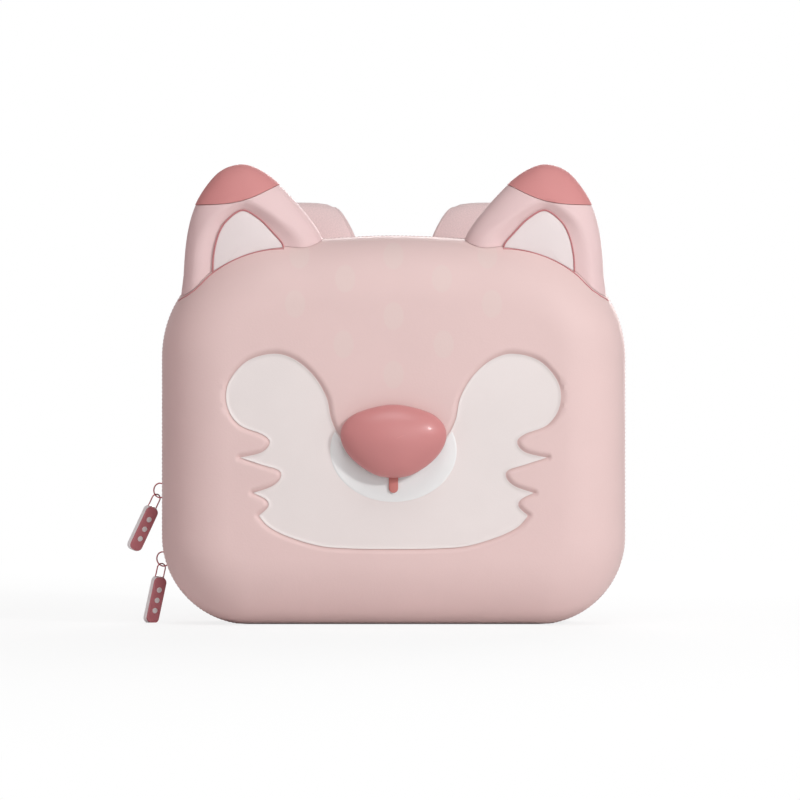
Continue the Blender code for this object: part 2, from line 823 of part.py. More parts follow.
def make_strap(side_name, side):
    """A padded shoulder strap, its ladder-lock adjuster, lower webbing and the tab that holds it."""
    half = STRAP_THICKNESS / 2
    back = BACK_Y + YOKE_THICKNESS + 2 * SEATED + half
    top = STRAP_TOP_Z - half
    adjuster_y = BACK_Y + PAD_THICKNESS + ADJUSTER_STAND_OFF
    strap_end = ADJUSTER_Z + ADJUSTER_SIZE[2] / 2 + GAP
    route = [
        (0.047, back, YOKE_Z - YOKE_SIZE[1] / 2 + 0.003),
        (0.0475, back, YOKE_Z + YOKE_SIZE[1] / 2),
        (0.0515, back + 0.002, top - 0.020),
        (0.0620, back + 0.013, top),
        (0.0680, back + 0.025, top - 0.016),
        (0.0690, back + 0.029, top - 0.050),
        (0.0720, back + 0.028, top - 0.092),
        (0.0810, back + 0.023, top - 0.130),
        (0.0885, adjuster_y + 0.001, strap_end + 0.016),
        (ADJUSTER_X, adjuster_y, strap_end + half),
    ]
    path = smooth_path([Vector((side * x, y, z)) for x, y, z in route], 3)
    path.append(path[-1] - UP * half)
    strap = band(path, STRAP_WIDTH, STRAP_THICKNESS, STRAP_THICKNESS * 0.3)
    object_from(f"{side_name}_shoulder_strap", strap, "mesh_pink", angle=50)

    x = side * route[-1][0]
    size = ADJUSTER_SIZE
    frame = box(size, (x, adjuster_y, ADJUSTER_Z))
    bmesh.ops.bevel(frame, geom=frame.edges, offset=size[1] / 5, segments=1, affect="EDGES")
    adjuster = object_from(f"{side_name}_adjuster", frame, "tag_rose", angle=30)
    window = (size[2] - 3 * ADJUSTER_BAR) / 2
    for label, level in (("low", -1), ("high", 1)):
        z = ADJUSTER_Z + level * (ADJUSTER_BAR + window) / 2
        hole = box((size[0] - 2 * ADJUSTER_BAR, size[1] * 3, window), (x, adjuster_y, z))
        combine(adjuster, object_from(f"{side_name}_window_{label}", hole, None), "DIFFERENCE")

    run = size[1] / 2 + GAP * 3 + WEBBING_THICKNESS / 2
    anchor_x = side * ANCHOR_X
    tab_front = BACK_Y + SEATED
    low_y = tab_front + ANCHOR_THICKNESS + SEATED + WEBBING_THICKNESS / 2
    foot = ANCHOR_Z - ANCHOR_SIZE[1] / 2 + 0.004
    points = [
        Vector((anchor_x, low_y, foot)),
        Vector((anchor_x, low_y, ANCHOR_Z + ANCHOR_SIZE[1] / 2)),
        Vector((side * WEBBING_BEND_X, (low_y + adjuster_y - run) / 2, (ANCHOR_Z + ADJUSTER_Z) / 2)),
        Vector((x, adjuster_y - run, ADJUSTER_Z - size[2])),
        Vector((x, adjuster_y - run, ADJUSTER_Z - size[2] / 2)),
        Vector((x, adjuster_y - run, ADJUSTER_Z)),
    ]
    path = points[:1] + smooth_path(points[1:], 3)[:-1]
    for i in range(7):
        a = math.pi * i / 6
        path.append(Vector((x, adjuster_y - run * math.cos(a), ADJUSTER_Z + run * math.sin(a) * 1.15)))
    path.append(Vector((x, adjuster_y + run, ADJUSTER_Z - size[2] / 2)))
    path.append(Vector((x + side * 0.001, adjuster_y + run, ADJUSTER_Z - size[2] / 2 - TAIL_DROP / 2)))
    path.append(Vector((x + side * 0.003, adjuster_y + run, ADJUSTER_Z - size[2] / 2 - TAIL_DROP)))
    webbing = band(path, WEBBING_WIDTH, WEBBING_THICKNESS, WEBBING_THICKNESS * 0.25)
    object_from(f"{side_name}_strap_webbing", webbing, "tape_pink", angle=50)

    outline = rounded_rectangle(ANCHOR_SIZE[0], ANCHOR_SIZE[1], 0.004, 3)
    outline = [(px + anchor_x, pz + ANCHOR_Z) for px, pz in outline]
    tab = plate(outline, tab_front, tab_front + ANCHOR_THICKNESS)
    object_from(f"{side_name}_anchor_tab", tab, "rose")


def make_yoke_and_handle():
    """The patch that holds both straps, and the carrying loop hung between them."""
    outline = [(x, z + YOKE_Z) for x, z in rounded_rectangle(YOKE_SIZE[0], YOKE_SIZE[1], 0.008, 4)]
    front = BACK_Y + SEATED
    yoke_back = front + YOKE_THICKNESS
    object_from("strap_yoke", plate(outline, front, yoke_back), "rose")

    half = HANDLE_WIDTH / 2
    y = yoke_back + SEATED + HANDLE_THICKNESS / 2
    span = HANDLE_SPAN / 2
    pivot = Vector((0, y, YOKE_Z))
    route = [(-span, 0.0), (-span, -0.4), (-span * 0.8, -0.85), (-span * 0.4, -1.0)]
    route += [(0.0, -1.03)] + [(-x, z) for x, z in reversed(route)]
    path = smooth_path([Vector((x, y, YOKE_Z + z * HANDLE_DROP)) for x, z in route], 3)
    loop = cord_band(path, half, HANDLE_THICKNESS / 2)
    object_from("carry_handle", loop, "tape_pink", pivot=pivot)


def make_pocket(name, floor_y, toward_y, slot):
    """A flat pocket across the lower part of a lining, with a bound top edge."""
    side = math.copysign(1, toward_y - floor_y)
    width = BODY_WIDTH - 2 * (FRONT_FILLET + POCKET_MARGIN)
    low = FRONT_FILLET + POCKET_MARGIN
    back = floor_y + side * SEATED
    outline = rounded_rectangle(width, POCKET_HEIGHT, 0.02, 4)
    outline = [(x, z + low + POCKET_HEIGHT / 2) for x, z in outline]
    object_from(name, plate(outline, back, back + side * POCKET_THICKNESS), slot)
    edge = back + side * (POCKET_THICKNESS + SEATED)
    top = low + POCKET_HEIGHT
    size = (width - 0.04, BINDING * 0.6, BINDING)
    centre = (0, edge + side * size[1] / 2, top - BINDING)
    object_from(f"{name}_binding", box(size, centre), "rose")


def build():
    for old in list(bpy.data.objects):
        bpy.data.objects.remove(old)
    make_front_shell()
    make_rear_shell()
    make_lining("front_lining", FRONT_RIM_Y, FACE_Y, FRONT_FILLET, FRONT_FILLET_DEPTH)
    make_lining("rear_lining", REAR_RIM_Y, BACK_Y, REAR_FILLET, REAR_FILLET_DEPTH)
    make_zip_chain("front_zip_chain", FRONT_RIM_Y)
    make_zip_chain("rear_zip_chain", REAR_RIM_Y)
    make_hinge_tape("front_hinge_tape", FRONT_RIM_Y)
    make_hinge_tape("rear_hinge_tape", REAR_RIM_Y)
    make_zip_stop("left_zip_stop", -1)
    make_zip_stop("right_zip_stop", 1)
    make_face()
    make_ear("left", False)
    make_ear("right", True)
    upper_foot = Vector((-HALF_WIDTH, PARTING_Y, UPPER_SLIDER_Z))
    make_pull("upper_slider", upper_foot, Vector((-1, 0, 0)), UPPER_TAG_TILT)
    normal = Vector((-math.cos(LOWER_SLIDER_ANGLE), 0, -math.sin(LOWER_SLIDER_ANGLE)))
    corner = Vector((-HALF_WIDTH + BOTTOM_RADIUS, PARTING_Y, BOTTOM_RADIUS))
    make_pull("lower_slider", corner + normal * BOTTOM_RADIUS, normal, LOWER_TAG_TILT)
    for label, side in (("left", -1), ("right", 1)):
        make_strap(label, side)
        centre = (side * UPPER_PAD_CENTRE[0], UPPER_PAD_CENTRE[1])
        make_pad(f"{label}_back_pad", UPPER_PAD_SIZE, centre)
    make_pad("lumbar_pad", LUMBAR_PAD_SIZE, (0, LUMBAR_PAD_Z))
    make_yoke_and_handle()
    make_pocket("lid_mesh_pocket", FACE_Y + WALL + GAP + LINING, 0, "mesh_pink")
    make_pocket("sleeve_pocket", BACK_Y - WALL - GAP - LINING, -1, "lining_pink")


build()
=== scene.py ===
"""Looks of a kids' hard-shell backpack with an animal face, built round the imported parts.

Metres, +Z up. The face looks along -Y and +X is on the viewer's right. The origin is on the flat
underside of the rear shell, midway between its sides.
"""

import math

import bmesh
import bpy
import numpy as np
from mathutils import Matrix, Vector
from mathutils.geometry import delaunay_2d_cdt


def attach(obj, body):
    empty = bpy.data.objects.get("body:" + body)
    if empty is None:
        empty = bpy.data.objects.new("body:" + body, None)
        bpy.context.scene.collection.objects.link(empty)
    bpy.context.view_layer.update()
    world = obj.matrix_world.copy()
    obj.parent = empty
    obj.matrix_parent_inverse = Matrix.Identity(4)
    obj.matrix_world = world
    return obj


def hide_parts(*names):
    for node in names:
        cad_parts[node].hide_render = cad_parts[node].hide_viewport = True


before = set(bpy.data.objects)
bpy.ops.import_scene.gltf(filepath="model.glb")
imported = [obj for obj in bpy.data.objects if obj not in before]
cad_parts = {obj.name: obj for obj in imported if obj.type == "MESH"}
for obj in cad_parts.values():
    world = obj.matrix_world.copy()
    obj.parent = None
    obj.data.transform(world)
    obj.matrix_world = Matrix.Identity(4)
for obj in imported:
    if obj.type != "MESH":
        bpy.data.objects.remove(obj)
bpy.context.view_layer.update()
RIGHTWARD = Vector((1, 0, 0))
UP = Vector((0, 0, 1))
BACKWARD = Vector((0, 1, 0))

# Closed shell
HALF_WIDTH = 0.140
HEIGHT = 0.2355
LOW_RADIUS = 0.053
HIGH_RADIUS = 0.074
WALL = 0.0045
PARTING_Y = -0.016
FRONT_RIM_Y = -0.025
REAR_RIM_Y = -0.007
FACE_Y = -0.077
BACK_Y = 0.040
FRONT_FILLET = (0.040, 0.036)
REAR_FILLET = (0.024, 0.022)
TAPE_INSET = 0.0048
TAPE_THICKNESS = 0.0008
HINGE_LENGTH = 0.151
HINGE_Z = 0.0033
GAP = 0.0003

# Face
RECESS_DEPTH = 0.0032
SLOPE_OUT = 0.0030
SLOPE_IN = 0.0016
PANEL_FRONT = -0.0749
MUZZLE_FRONT = -0.0752
NOSE_CENTRE_Z = 0.112
NOSE_HEIGHT = 0.016
NOSE_EDGE = 0.0035
MUZZLE_CENTRE_Z = 0.1055
MUZZLE_HALF = (0.038, 0.031)
MOUTH_RADIUS = 0.0028
MOUTH_TOP = 0.0925
MOUTH_FOOT = 0.080

# The crown of the shells: how far it drops in the middle and by the ears, and where that sets in
TOP_DROP = 0.0006
TOP_ARCH = 0.0030
ARCH_HALF_WIDTH = 0.066
ARCH_FOOT_Z = 0.165
ARCH_RISE = 0.070
CORNER_STEPS = 32
CROWN_STEPS = 24

# Ears
EAR_Y = -0.046
EAR_HALF = 0.017
EAR_MIDDLE = (-0.086, 0.228)
EAR_FLOOR_Y = -0.0572
# (where it sets in, over what length, how much) the outline moves inwards and down
EAR_SLIMMED = (-0.095, 0.020, 0.0013)
EAR_LOWERED = (0.240, 0.035, 0.0016)
# The slope from the stuffed rim to the lining: its least width, and how much wider it gets
EAR_SLOPE = (0.0065, 0.0115)
EAR_LIP = 0.0008
EAR_PIPING_RADIUS = 0.0005
SEAM_RADIUS = 0.00045
# Degrees round the shell's upper corner, and how far forward the ear's seam lies there
SEAM_TURNS = (90, 128, 131, 137, 142, 147, 151)
SEAM_DEPTHS = (-0.0596, -0.0594, -0.0594, -0.0600, -0.0594, -0.0560, -0.0490)

# Zip pulls
TEETH_TOP = 0.0036
SLIDER_GAP = 0.0006
PLATE_THICKNESS = 0.0009
RING_RADIUS = 0.0044
RING_WIRE = 0.00043
RING_LEAN = math.radians(27)
RING_HOLD = math.radians(60)
WIRE_ROOM = 0.001
BAIL_WIRE = 0.00040
BAIL_HALF = 0.0028
BAIL_LEG = 0.0075
TAG_TURN = math.radians(32)
TAG_SIZE = (0.0089, 0.0295)
UPPER_SLIDER_Z = 0.0805
LOWER_SLIDER_TURN = math.radians(15)

# Small parts in rows: their spacing, length, width and height
RIM_STITCH = (0.0024, 0.0017, 0.0006, 0.0005)
ZIP_TOOTH = (0.0017, 0.0009, 0.0026, 0.0013)
STRAP_STITCH = (0.0030, 0.0021, 0.0007, 0.0008)
WEBBING_STITCH = (0.0022, 0.0015, 0.0005, 0.0004)
PATCH_STITCH = (0.0026, 0.0018, 0.0006, 0.0005)
PAD_STITCH = (0.0030, 0.0021, 0.0007, 0.0007)
POCKET_STITCH = (0.0026, 0.0018, 0.0005, 0.0004)

# Back of the bag
STRAP_WIDTH = 0.052
STRAP_THICKNESS = 0.009
WEBBING_WIDTH = 0.020
WEBBING_THICKNESS = 0.0014
YOKE_Z = 0.198
YOKE_THICKNESS = 0.003
ADJUSTER = (0.090, 0.066, 0.082)
ADJUSTER_SIZE = (0.028, 0.0035, 0.019)
ANCHOR = (0.112, 0.030)
CLOTH_FRAMES = 20

# Stage: the floor's glow to the camera rises from GLOW_NEAR between the two distances
FLOOR_RADIUS = 4.0
FLOOR_WHITE = 0.93
GLOW_NEAR = 0.82
GLOW_FADE = (0.3, 1.3)
WORLD_STRENGTH = 0.12
CAMERA_LENS = 250
CAMERA_PLACE = (0.0039, -3.407, 0.1357)

# Colours, as linear red, green and blue
SHELL_PINK = (0.770, 0.570, 0.552)
SPOT_CREAM = (0.760, 0.600, 0.568)
CREAM = (0.815, 0.745, 0.730)
WHITE = (0.84, 0.845, 0.845)
NOSE_ROSE = (0.590, 0.235, 0.232)
TIP_ROSE = (0.640, 0.265, 0.260)
MOUTH_ROSE = (0.610, 0.220, 0.200)
EAR_PINK = (0.790, 0.580, 0.578)
EAR_CREAM = (0.790, 0.700, 0.697)
PIPING_ROSE = (0.480, 0.150, 0.160)
EAR_PIPING_ROSE = (0.600, 0.225, 0.235)
# the strap pink is lighter than the straps' own colour: painted light making up for the shade the ears and
# shell cast on them
STRAP_PINK_WITH_PAINTED_LIGHT = (0.860, 0.660, 0.655)
MESH_PINK = (0.640, 0.400, 0.405)
LINING_PINK = (0.700, 0.480, 0.480)
TAPE_PINK = (0.560, 0.310, 0.320)
METAL_ROSE = (0.420, 0.110, 0.125)
TAG_ROSE = (0.600, 0.215, 0.240)
TAG_MILK = (0.86, 0.84, 0.84)


# ---------------------------------------------------------------- shader building blocks


def put(tree, kind, inputs=None, **settings):
    """A node with its settings, each input either linked from a socket or set to a value."""
    node = tree.nodes.new(kind)
    for name, value in settings.items():
        setattr(node, name, value)
    for name, value in (inputs or {}).items():
        if isinstance(value, bpy.types.NodeSocket):
            tree.links.new(value, node.inputs[name])
        else:
            node.inputs[name].default_value = value
    return node


def calc(tree, operation, *values):
    """One arithmetic step, and the socket that carries its result."""
    settings = {i: value for i, value in enumerate(values)}
    return put(tree, "ShaderNodeMath", settings, operation=operation).outputs[0]


def vector_calc(tree, operation, *values):
    settings = {i: value for i, value in enumerate(values)}
    node = put(tree, "ShaderNodeVectorMath", settings, operation=operation)
    return node.outputs["Value"] if operation == "LENGTH" else node.outputs["Vector"]


def new_group(name, inputs, outputs):
    """An empty shader group with named sockets."""
    group = bpy.data.node_groups.new(name, "ShaderNodeTree")
    for label, kind, value in inputs:
        socket = group.interface.new_socket(label, in_out="INPUT", socket_type=kind)
        if value is not None:
            socket.default_value = value
    for label, kind in outputs:
        group.interface.new_socket(label, in_out="OUTPUT", socket_type=kind)
    start = group.nodes.new("NodeGroupInput").outputs
    end = group.nodes.new("NodeGroupOutput").inputs
    return group, start, end


def grain_group():
    """Pebbled grain of a coated skin, with slow patches of lighter and darker tone."""
    sockets = [("Place", "NodeSocketVector", None), ("Pebbles per metre", "NodeSocketFloat", 900.0)]
    group, start, end = new_group(
        "coated grain", sockets, [("Height", "NodeSocketFloat"), ("Patches", "NodeSocketFloat")]
    )
    place, scale = start["Place"], start["Pebbles per metre"]
    cells = put(group, "ShaderNodeTexVoronoi", {"Vector": place, "Scale": scale}, feature="SMOOTH_F1")
    fine = put(
        group,
        "ShaderNodeTexNoise",
        {"Vector": place, "Scale": calc(group, "MULTIPLY", scale, 2.3), "Detail": 2.0},
    )
    height = calc(group, "MULTIPLY_ADD", fine.outputs[0], 0.5, cells.outputs["Distance"])
    slow = put(group, "ShaderNodeTexNoise", {"Vector": place, "Scale": 14.0, "Detail": 3.0})
    group.links.new(height, end["Height"])
    group.links.new(slow.outputs[0], end["Patches"])
    return group


def weave_group():
    """Plain weave: warp over weft, one thread at a time."""
    sockets = [("Place", "NodeSocketVector", None), ("Thread", "NodeSocketFloat", 0.0005)]
    group, start, end = new_group(
        "plain weave", sockets, [("Height", "NodeSocketFloat"), ("Fibre", "NodeSocketFloat")]
    )
    parts = put(group, "ShaderNodeSeparateXYZ", {0: start["Place"]})
    turns = calc(group, "DIVIDE", math.pi, start["Thread"])
    waves = []
    for axis in (0, 1):
        angle = calc(group, "MULTIPLY", parts.outputs[axis], turns)
        waves.append(calc(group, "SINE", angle))
    heights = []
    for mine, other, lift in ((waves[0], waves[1], 0.45), (waves[1], waves[0], -0.45)):
        side = calc(group, "SIGN", mine)
        rise = calc(group, "MULTIPLY", calc(group, "MULTIPLY", other, side), lift)
        heights.append(
            calc(group, "MULTIPLY", calc(group, "ABSOLUTE", mine), calc(group, "ADD", rise, 0.55))
        )
    group.links.new(calc(group, "MAXIMUM", *heights), end["Height"])
    fibre = put(group, "ShaderNodeTexNoise", {"Vector": start["Place"], "Scale": 1400.0, "Detail": 2.0})
    group.links.new(fibre.outputs[0], end["Fibre"])
    return group


def air_mesh_group():
    """Spacer mesh: staggered round holes through a knitted face."""
    sockets = [("Place", "NodeSocketVector", None), ("Pitch", "NodeSocketFloat", 0.0026)]
    group, start, end = new_group(
        "air mesh", sockets, [("Height", "NodeSocketFloat"), ("Hole", "NodeSocketFloat")]
    )
    row = math.sqrt(3)
    rise = calc(group, "MULTIPLY", start["Pitch"], row)
    step = put(group, "ShaderNodeCombineXYZ", {0: start["Pitch"], 1: rise})
    flat = vector_calc(group, "MULTIPLY", start["Place"], (1, 1, 0))
    cell = vector_calc(group, "DIVIDE", flat, step.outputs[0])
    distances = []
    for shift in (0.0, 0.5):
        moved = vector_calc(group, "ADD", cell, (shift, shift, 0))
        part = vector_calc(group, "SUBTRACT", vector_calc(group, "FRACTION", moved), (0.5, 0.5, 0))
        distances.append(vector_calc(group, "LENGTH", vector_calc(group, "MULTIPLY", part, (1, row, 0))))
    nearest = calc(group, "MINIMUM", *distances)
    hole = put(
        group,
        "ShaderNodeMapRange",
        {"Value": nearest, "From Min": 0.20, "From Max": 0.34, "To Min": 1.0, "To Max": 0.0},
        interpolation_type="SMOOTHSTEP",
    )
    knit = put(group, "ShaderNodeTexNoise", {"Vector": start["Place"], "Scale": 2600.0, "Detail": 1.0})
    height = calc(group, "SUBTRACT", calc(group, "MULTIPLY", knit.outputs[0], 0.35), hole.outputs[0])
    group.links.new(height, end["Height"])
    group.links.new(hole.outputs[0], end["Hole"])
    return group


def wear_group():
    """Rubbed corners: lighter where the surface turns sharply, broken up by noise."""
    sockets = [("Place", "NodeSocketVector", None), ("Amount", "NodeSocketFloat", 0.5)]
    group, start, end = new_group("rubbed edges", sockets, [("Mask", "NodeSocketFloat")])
    turn = put(group, "ShaderNodeNewGeometry")
    sharp = put(
        group,
        "ShaderNodeMapRange",
        {"Value": turn.outputs["Pointiness"], "From Min": 0.51, "From Max": 0.60},
        interpolation_type="SMOOTHSTEP",
    )
    broken = put(group, "ShaderNodeTexNoise", {"Vector": start["Place"], "Scale": 160.0, "Detail": 4.0})
    mask = calc(group, "MULTIPLY", sharp.outputs[0], broken.outputs[0])
    group.links.new(calc(group, "MULTIPLY", mask, start["Amount"]), end["Mask"])
    return group


GRAIN = grain_group()
WEAVE = weave_group()
AIR_MESH = air_mesh_group()
WEAR = wear_group()


def use(tree, group, **inputs):
    node = tree.nodes.new("ShaderNodeGroup")
    node.node_tree = group
    for name, value in inputs.items():
        socket = node.inputs[name.replace("_", " ")]
        if isinstance(value, bpy.types.NodeSocket):
            tree.links.new(value, socket)
        else:
            socket.default_value = value
    return node


def darker(colour, share):
    return tuple(c * share for c in colour)


def lighter(colour, share):
    return tuple(min(1, c * share) for c in colour)


def mix(tree, factor, a, b):
    """Colour a blended into colour b."""
    node = put(tree, "ShaderNodeMix", {0: factor}, data_type="RGBA")
    for socket, value in ((node.inputs[6], a), (node.inputs[7], b)):
        if isinstance(value, bpy.types.NodeSocket):
            tree.links.new(value, socket)
        else:
            socket.default_value = (*value, 1)
    return node.outputs[2]


def blank_material(name):
    made = bpy.data.materials.new(name)
    made.use_nodes = True
    tree = made.node_tree
    surface = tree.nodes["Principled BSDF"]
    return made, tree, surface


def bump(tree, surface, height, distance):
    """A bump of that real depth on the surface's normal."""
    node = put(tree, "ShaderNodeBump", {"Height": height, "Distance": distance, "Strength": 1.0})
    tree.links.new(node.outputs[0], surface.inputs["Normal"])


def object_place(tree):
    return put(tree, "ShaderNodeTexCoord").outputs["Object"]


def cloth_place(tree, from_uv):
    """Where a cloth's pattern is read: along the strip itself, or flat across X and Z."""
    if from_uv:
        return put(tree, "ShaderNodeUVMap", uv_map="weave").outputs[0]
    parts = put(tree, "ShaderNodeSeparateXYZ", {0: object_place(tree)})
    return put(tree, "ShaderNodeCombineXYZ", {0: parts.outputs[0], 1: parts.outputs[2]}).outputs[0]


def coated(name, colour, roughness=0.48, pebbles=1000.0, depth=0.00004, extra=None, gloss=0.2):
    """Soft-touch coated skin over moulded foam."""
    made, tree, surface = blank_material(name)
    place = object_place(tree)
    grain = use(tree, GRAIN, Place=place, Pebbles_per_metre=pebbles)
    patches = put(
        tree, "ShaderNodeMapRange", {"Value": grain.outputs["Patches"], "From Min": 0.3, "From Max": 0.7}
    )
    toned = mix(tree, patches.outputs[0], darker(colour, 0.975), lighter(colour, 1.015))
    if extra:
        toned = extra(tree, place, toned)
    wear = use(tree, WEAR, Place=place, Amount=0.35)
    toned = mix(tree, wear.outputs["Mask"], toned, lighter(colour, 1.12))
    tree.links.new(toned, surface.inputs["Base Color"])
    rough = put(
        tree,
        "ShaderNodeMapRange",
        {"Value": grain.outputs["Height"], "To Min": roughness - 0.05, "To Max": roughness + 0.07},
    )
    tree.links.new(rough.outputs[0], surface.inputs["Roughness"])
    surface.inputs["Specular IOR Level"].default_value = gloss
    bump(tree, surface, grain.outputs["Height"], depth)
    return made


def woven(name, colour, thread=0.0005, from_uv=False, depth=0.00018, roughness=0.82, painted_valley_shade=0.66):
    """Woven or knitted cloth, seen thread by thread, with painted shade darkening the dips between threads."""
    made, tree, surface = blank_material(name)
    place = cloth_place(tree, from_uv)
    cloth = use(tree, WEAVE, Place=place, Thread=thread)
    # painted shade: the colour falls towards a darker copy of itself in the dips between threads
    shade = mix(tree, cloth.outputs["Height"], darker(colour, painted_valley_shade), colour)
    fibre = cloth.outputs["Fibre"]
    fuzz = put(tree, "ShaderNodeMapRange", {"Value": fibre, "From Min": 0.35, "From Max": 0.75})
    shade = mix(tree, fuzz.outputs[0], shade, lighter(colour, 1.10))
    tree.links.new(shade, surface.inputs["Base Color"])
    rough = put(tree, "ShaderNodeMapRange", {"Value": fibre, "To Min": roughness - 0.08, "To Max": 0.95})
    tree.links.new(rough.outputs[0], surface.inputs["Roughness"])
    surface.inputs["Sheen Weight"].default_value = 0.25
    surface.inputs["Sheen Roughness"].default_value = 0.5
    bump(tree, surface, cloth.outputs["Height"], depth)
    return made


def spacer_mesh(name, colour, pitch=0.0026, from_uv=False, open_holes=False):
    """Breathable mesh with staggered holes, the holes filled with painted shade."""
    made, tree, surface = blank_material(name)
    place = cloth_place(tree, from_uv)
    knit = use(tree, AIR_MESH, Place=place, Pitch=pitch)
    lit = put(tree, "ShaderNodeTexNoise", {"Vector": place, "Scale": 900.0, "Detail": 2.0})
    thread = mix(tree, lit.outputs[0], darker(colour, 0.86), lighter(colour, 1.12))
    # painted shade: the holes take a dark copy of the colour in place of the shade inside them
    shade = mix(tree, knit.outputs["Hole"], thread, darker(colour, 0.34))
    tree.links.new(shade, surface.inputs["Base Color"])
    rough = put(tree, "ShaderNodeMapRange", {"Value": lit.outputs[0], "To Min": 0.72, "To Max": 0.95})
    tree.links.new(rough.outputs[0], surface.inputs["Roughness"])
    surface.inputs["Sheen Weight"].default_value = 0.2
    if open_holes:
        solid = calc(tree, "SUBTRACT", 1.0, knit.outputs["Hole"])
        tree.links.new(solid, surface.inputs["Alpha"])
    bump(tree, surface, knit.outputs["Height"], 0.0004)
    return made


def polished(name, colour, roughness, metallic=0.0, coat=0.0, depth=0.00001, gloss=0.5):
    """Smooth paint, plastic or plated metal with faint handling marks."""
    made, tree, surface = blank_material(name)
    place = object_place(tree)
    marks = put(tree, "ShaderNodeTexNoise", {"Vector": place, "Scale": 220.0, "Detail": 5.0})
    slow = put(tree, "ShaderNodeTexNoise", {"Vector": place, "Scale": 30.0, "Detail": 2.0})
    shade = mix(tree, slow.outputs[0], darker(colour, 0.95), lighter(colour, 1.05))
    wear = use(tree, WEAR, Place=place, Amount=0.5)
    shade = mix(tree, wear.outputs["Mask"], shade, lighter(colour, 1.25))
    tree.links.new(shade, surface.inputs["Base Color"])
    rough = put(
        tree,
        "ShaderNodeMapRange",
        {"Value": marks.outputs[0], "To Min": max(0.02, roughness - 0.06), "To Max": roughness + 0.08},
    )
    tree.links.new(rough.outputs[0], surface.inputs["Roughness"])
    surface.inputs["Metallic"].default_value = metallic
    surface.inputs["Specular IOR Level"].default_value = gloss
    surface.inputs["Coat Weight"].default_value = coat
    surface.inputs["Coat Roughness"].default_value = 0.12
    bump(tree, surface, marks.outputs[0], depth)
    return made


SPOTS = (
    (0.000, 0.2224),
    (0.000, 0.1860),
    (0.000, 0.1509),
    (-0.029, 0.2085),
    (0.029, 0.2085),
    (-0.030, 0.1691),
    (0.030, 0.1691),
    (-0.059, 0.1933),
    (0.059, 0.1933),
    (-0.0565, 0.2230),
    (0.0565, 0.2230),
)


def forehead_spots(tree, place, below):
    """Faint printed ovals on the forehead."""
    total = None
    front = put(tree, "ShaderNodeSeparateXYZ", {0: place})
    for x, z in SPOTS:
        away = vector_calc(tree, "SUBTRACT", place, (x, 0, z))
        size = vector_calc(tree, "MULTIPLY", away, (1 / 0.0060, 0, 1 / 0.0083))
        reach = vector_calc(tree, "LENGTH", size)
        total = reach if total is None else calc(tree, "MINIMUM", total, reach)
    mask = put(
        tree,
        "ShaderNodeMapRange",
        {"Value": total, "From Min": 0.90, "From Max": 1.10, "To Min": 0.62, "To Max": 0.0},
        interpolation_type="SMOOTHSTEP",
    )
    outside = calc(tree, "LESS_THAN", front.outputs[1], -0.040)
    return mix(tree, calc(tree, "MULTIPLY", mask.outputs[0], outside), below, SPOT_CREAM)


FINISH = {
    "shell": coated("shell skin", SHELL_PINK, extra=forehead_spots),
    "rear": coated("rear shell skin", SHELL_PINK),
    "panel": coated("cheek panel", CREAM, roughness=0.55, pebbles=1500.0, depth=0.00003),
    "muzzle": coated("muzzle patch", WHITE, roughness=0.5, pebbles=1600.0, depth=0.00003),
    "nose": polished("glossy nose", NOSE_ROSE, 0.34, coat=0.12, gloss=0.3),
    "mouth": coated("mouth bar", MOUTH_ROSE, roughness=0.4, pebbles=1500.0),
    "ear": coated("ear skin", EAR_PINK, roughness=0.55, pebbles=1300.0),
    "tip": coated("ear tip skin", TIP_ROSE, roughness=0.55, pebbles=1300.0),
    "ear_lining": coated("ear lining", EAR_CREAM, roughness=0.6, pebbles=1500.0),
    "ear_piping": woven("ear piping cord", EAR_PIPING_ROSE, thread=0.0003, depth=0.0001),
    "piping": woven("piping cord", PIPING_ROSE, thread=0.0003, depth=0.0001),
    # the strap cloth and its binding carry the strap pink's painted light
    "strap": woven("strap cloth", STRAP_PINK_WITH_PAINTED_LIGHT, thread=0.00045, from_uv=True, depth=0.0001, painted_valley_shade=0.84),
    "binding": woven(
        "binding tape", darker(STRAP_PINK_WITH_PAINTED_LIGHT, 0.95), thread=0.0004, from_uv=True, depth=0.00012, painted_valley_shade=0.80
    ),
    "rose_binding": woven("rose binding tape", TIP_ROSE, thread=0.0004, from_uv=True, depth=0.00012),
    "strap_mesh": spacer_mesh("strap air mesh", MESH_PINK, from_uv=True),
    "pad_mesh": spacer_mesh("back air mesh", MESH_PINK),
    "net": spacer_mesh("pocket net", MESH_PINK, pitch=0.0022, from_uv=True, open_holes=True),
    "lining": woven("lining cloth", LINING_PINK, thread=0.0005),
    "sleeve": woven("sleeve cloth", LINING_PINK, thread=0.0006, from_uv=True),
    "tape": woven("zip tape", TAPE_PINK, thread=0.0005, from_uv=True),
    "webbing": woven("webbing", TAPE_PINK, thread=0.0011, from_uv=True, depth=0.0003),
    "patch": woven("rose patch cloth", TIP_ROSE, thread=0.0006),
    "teeth": polished("zip teeth", darker(TAPE_PINK, 0.9), 0.35),
    "thread": woven("sewing thread", darker(SHELL_PINK, 0.80), thread=0.0002, depth=0.00005),
    "rose_thread": woven("rose sewing thread", PIPING_ROSE, thread=0.0002, depth=0.00005),
    "metal": polished("rose plated metal", METAL_ROSE, 0.28, metallic=0.75),
    "tag_body": polished("milky tag", TAG_MILK, 0.30, coat=0.3),
    "tag_face": coated("tag face layer", TAG_ROSE, roughness=0.42, pebbles=2200.0, depth=0.00002),
    "tag_dot": polished("tag dots", TAG_MILK, 0.35),
    "buckle": polished("moulded buckle", TAG_ROSE, 0.38, depth=0.00003),
}


# ---------------------------------------------------------------- mesh building blocks


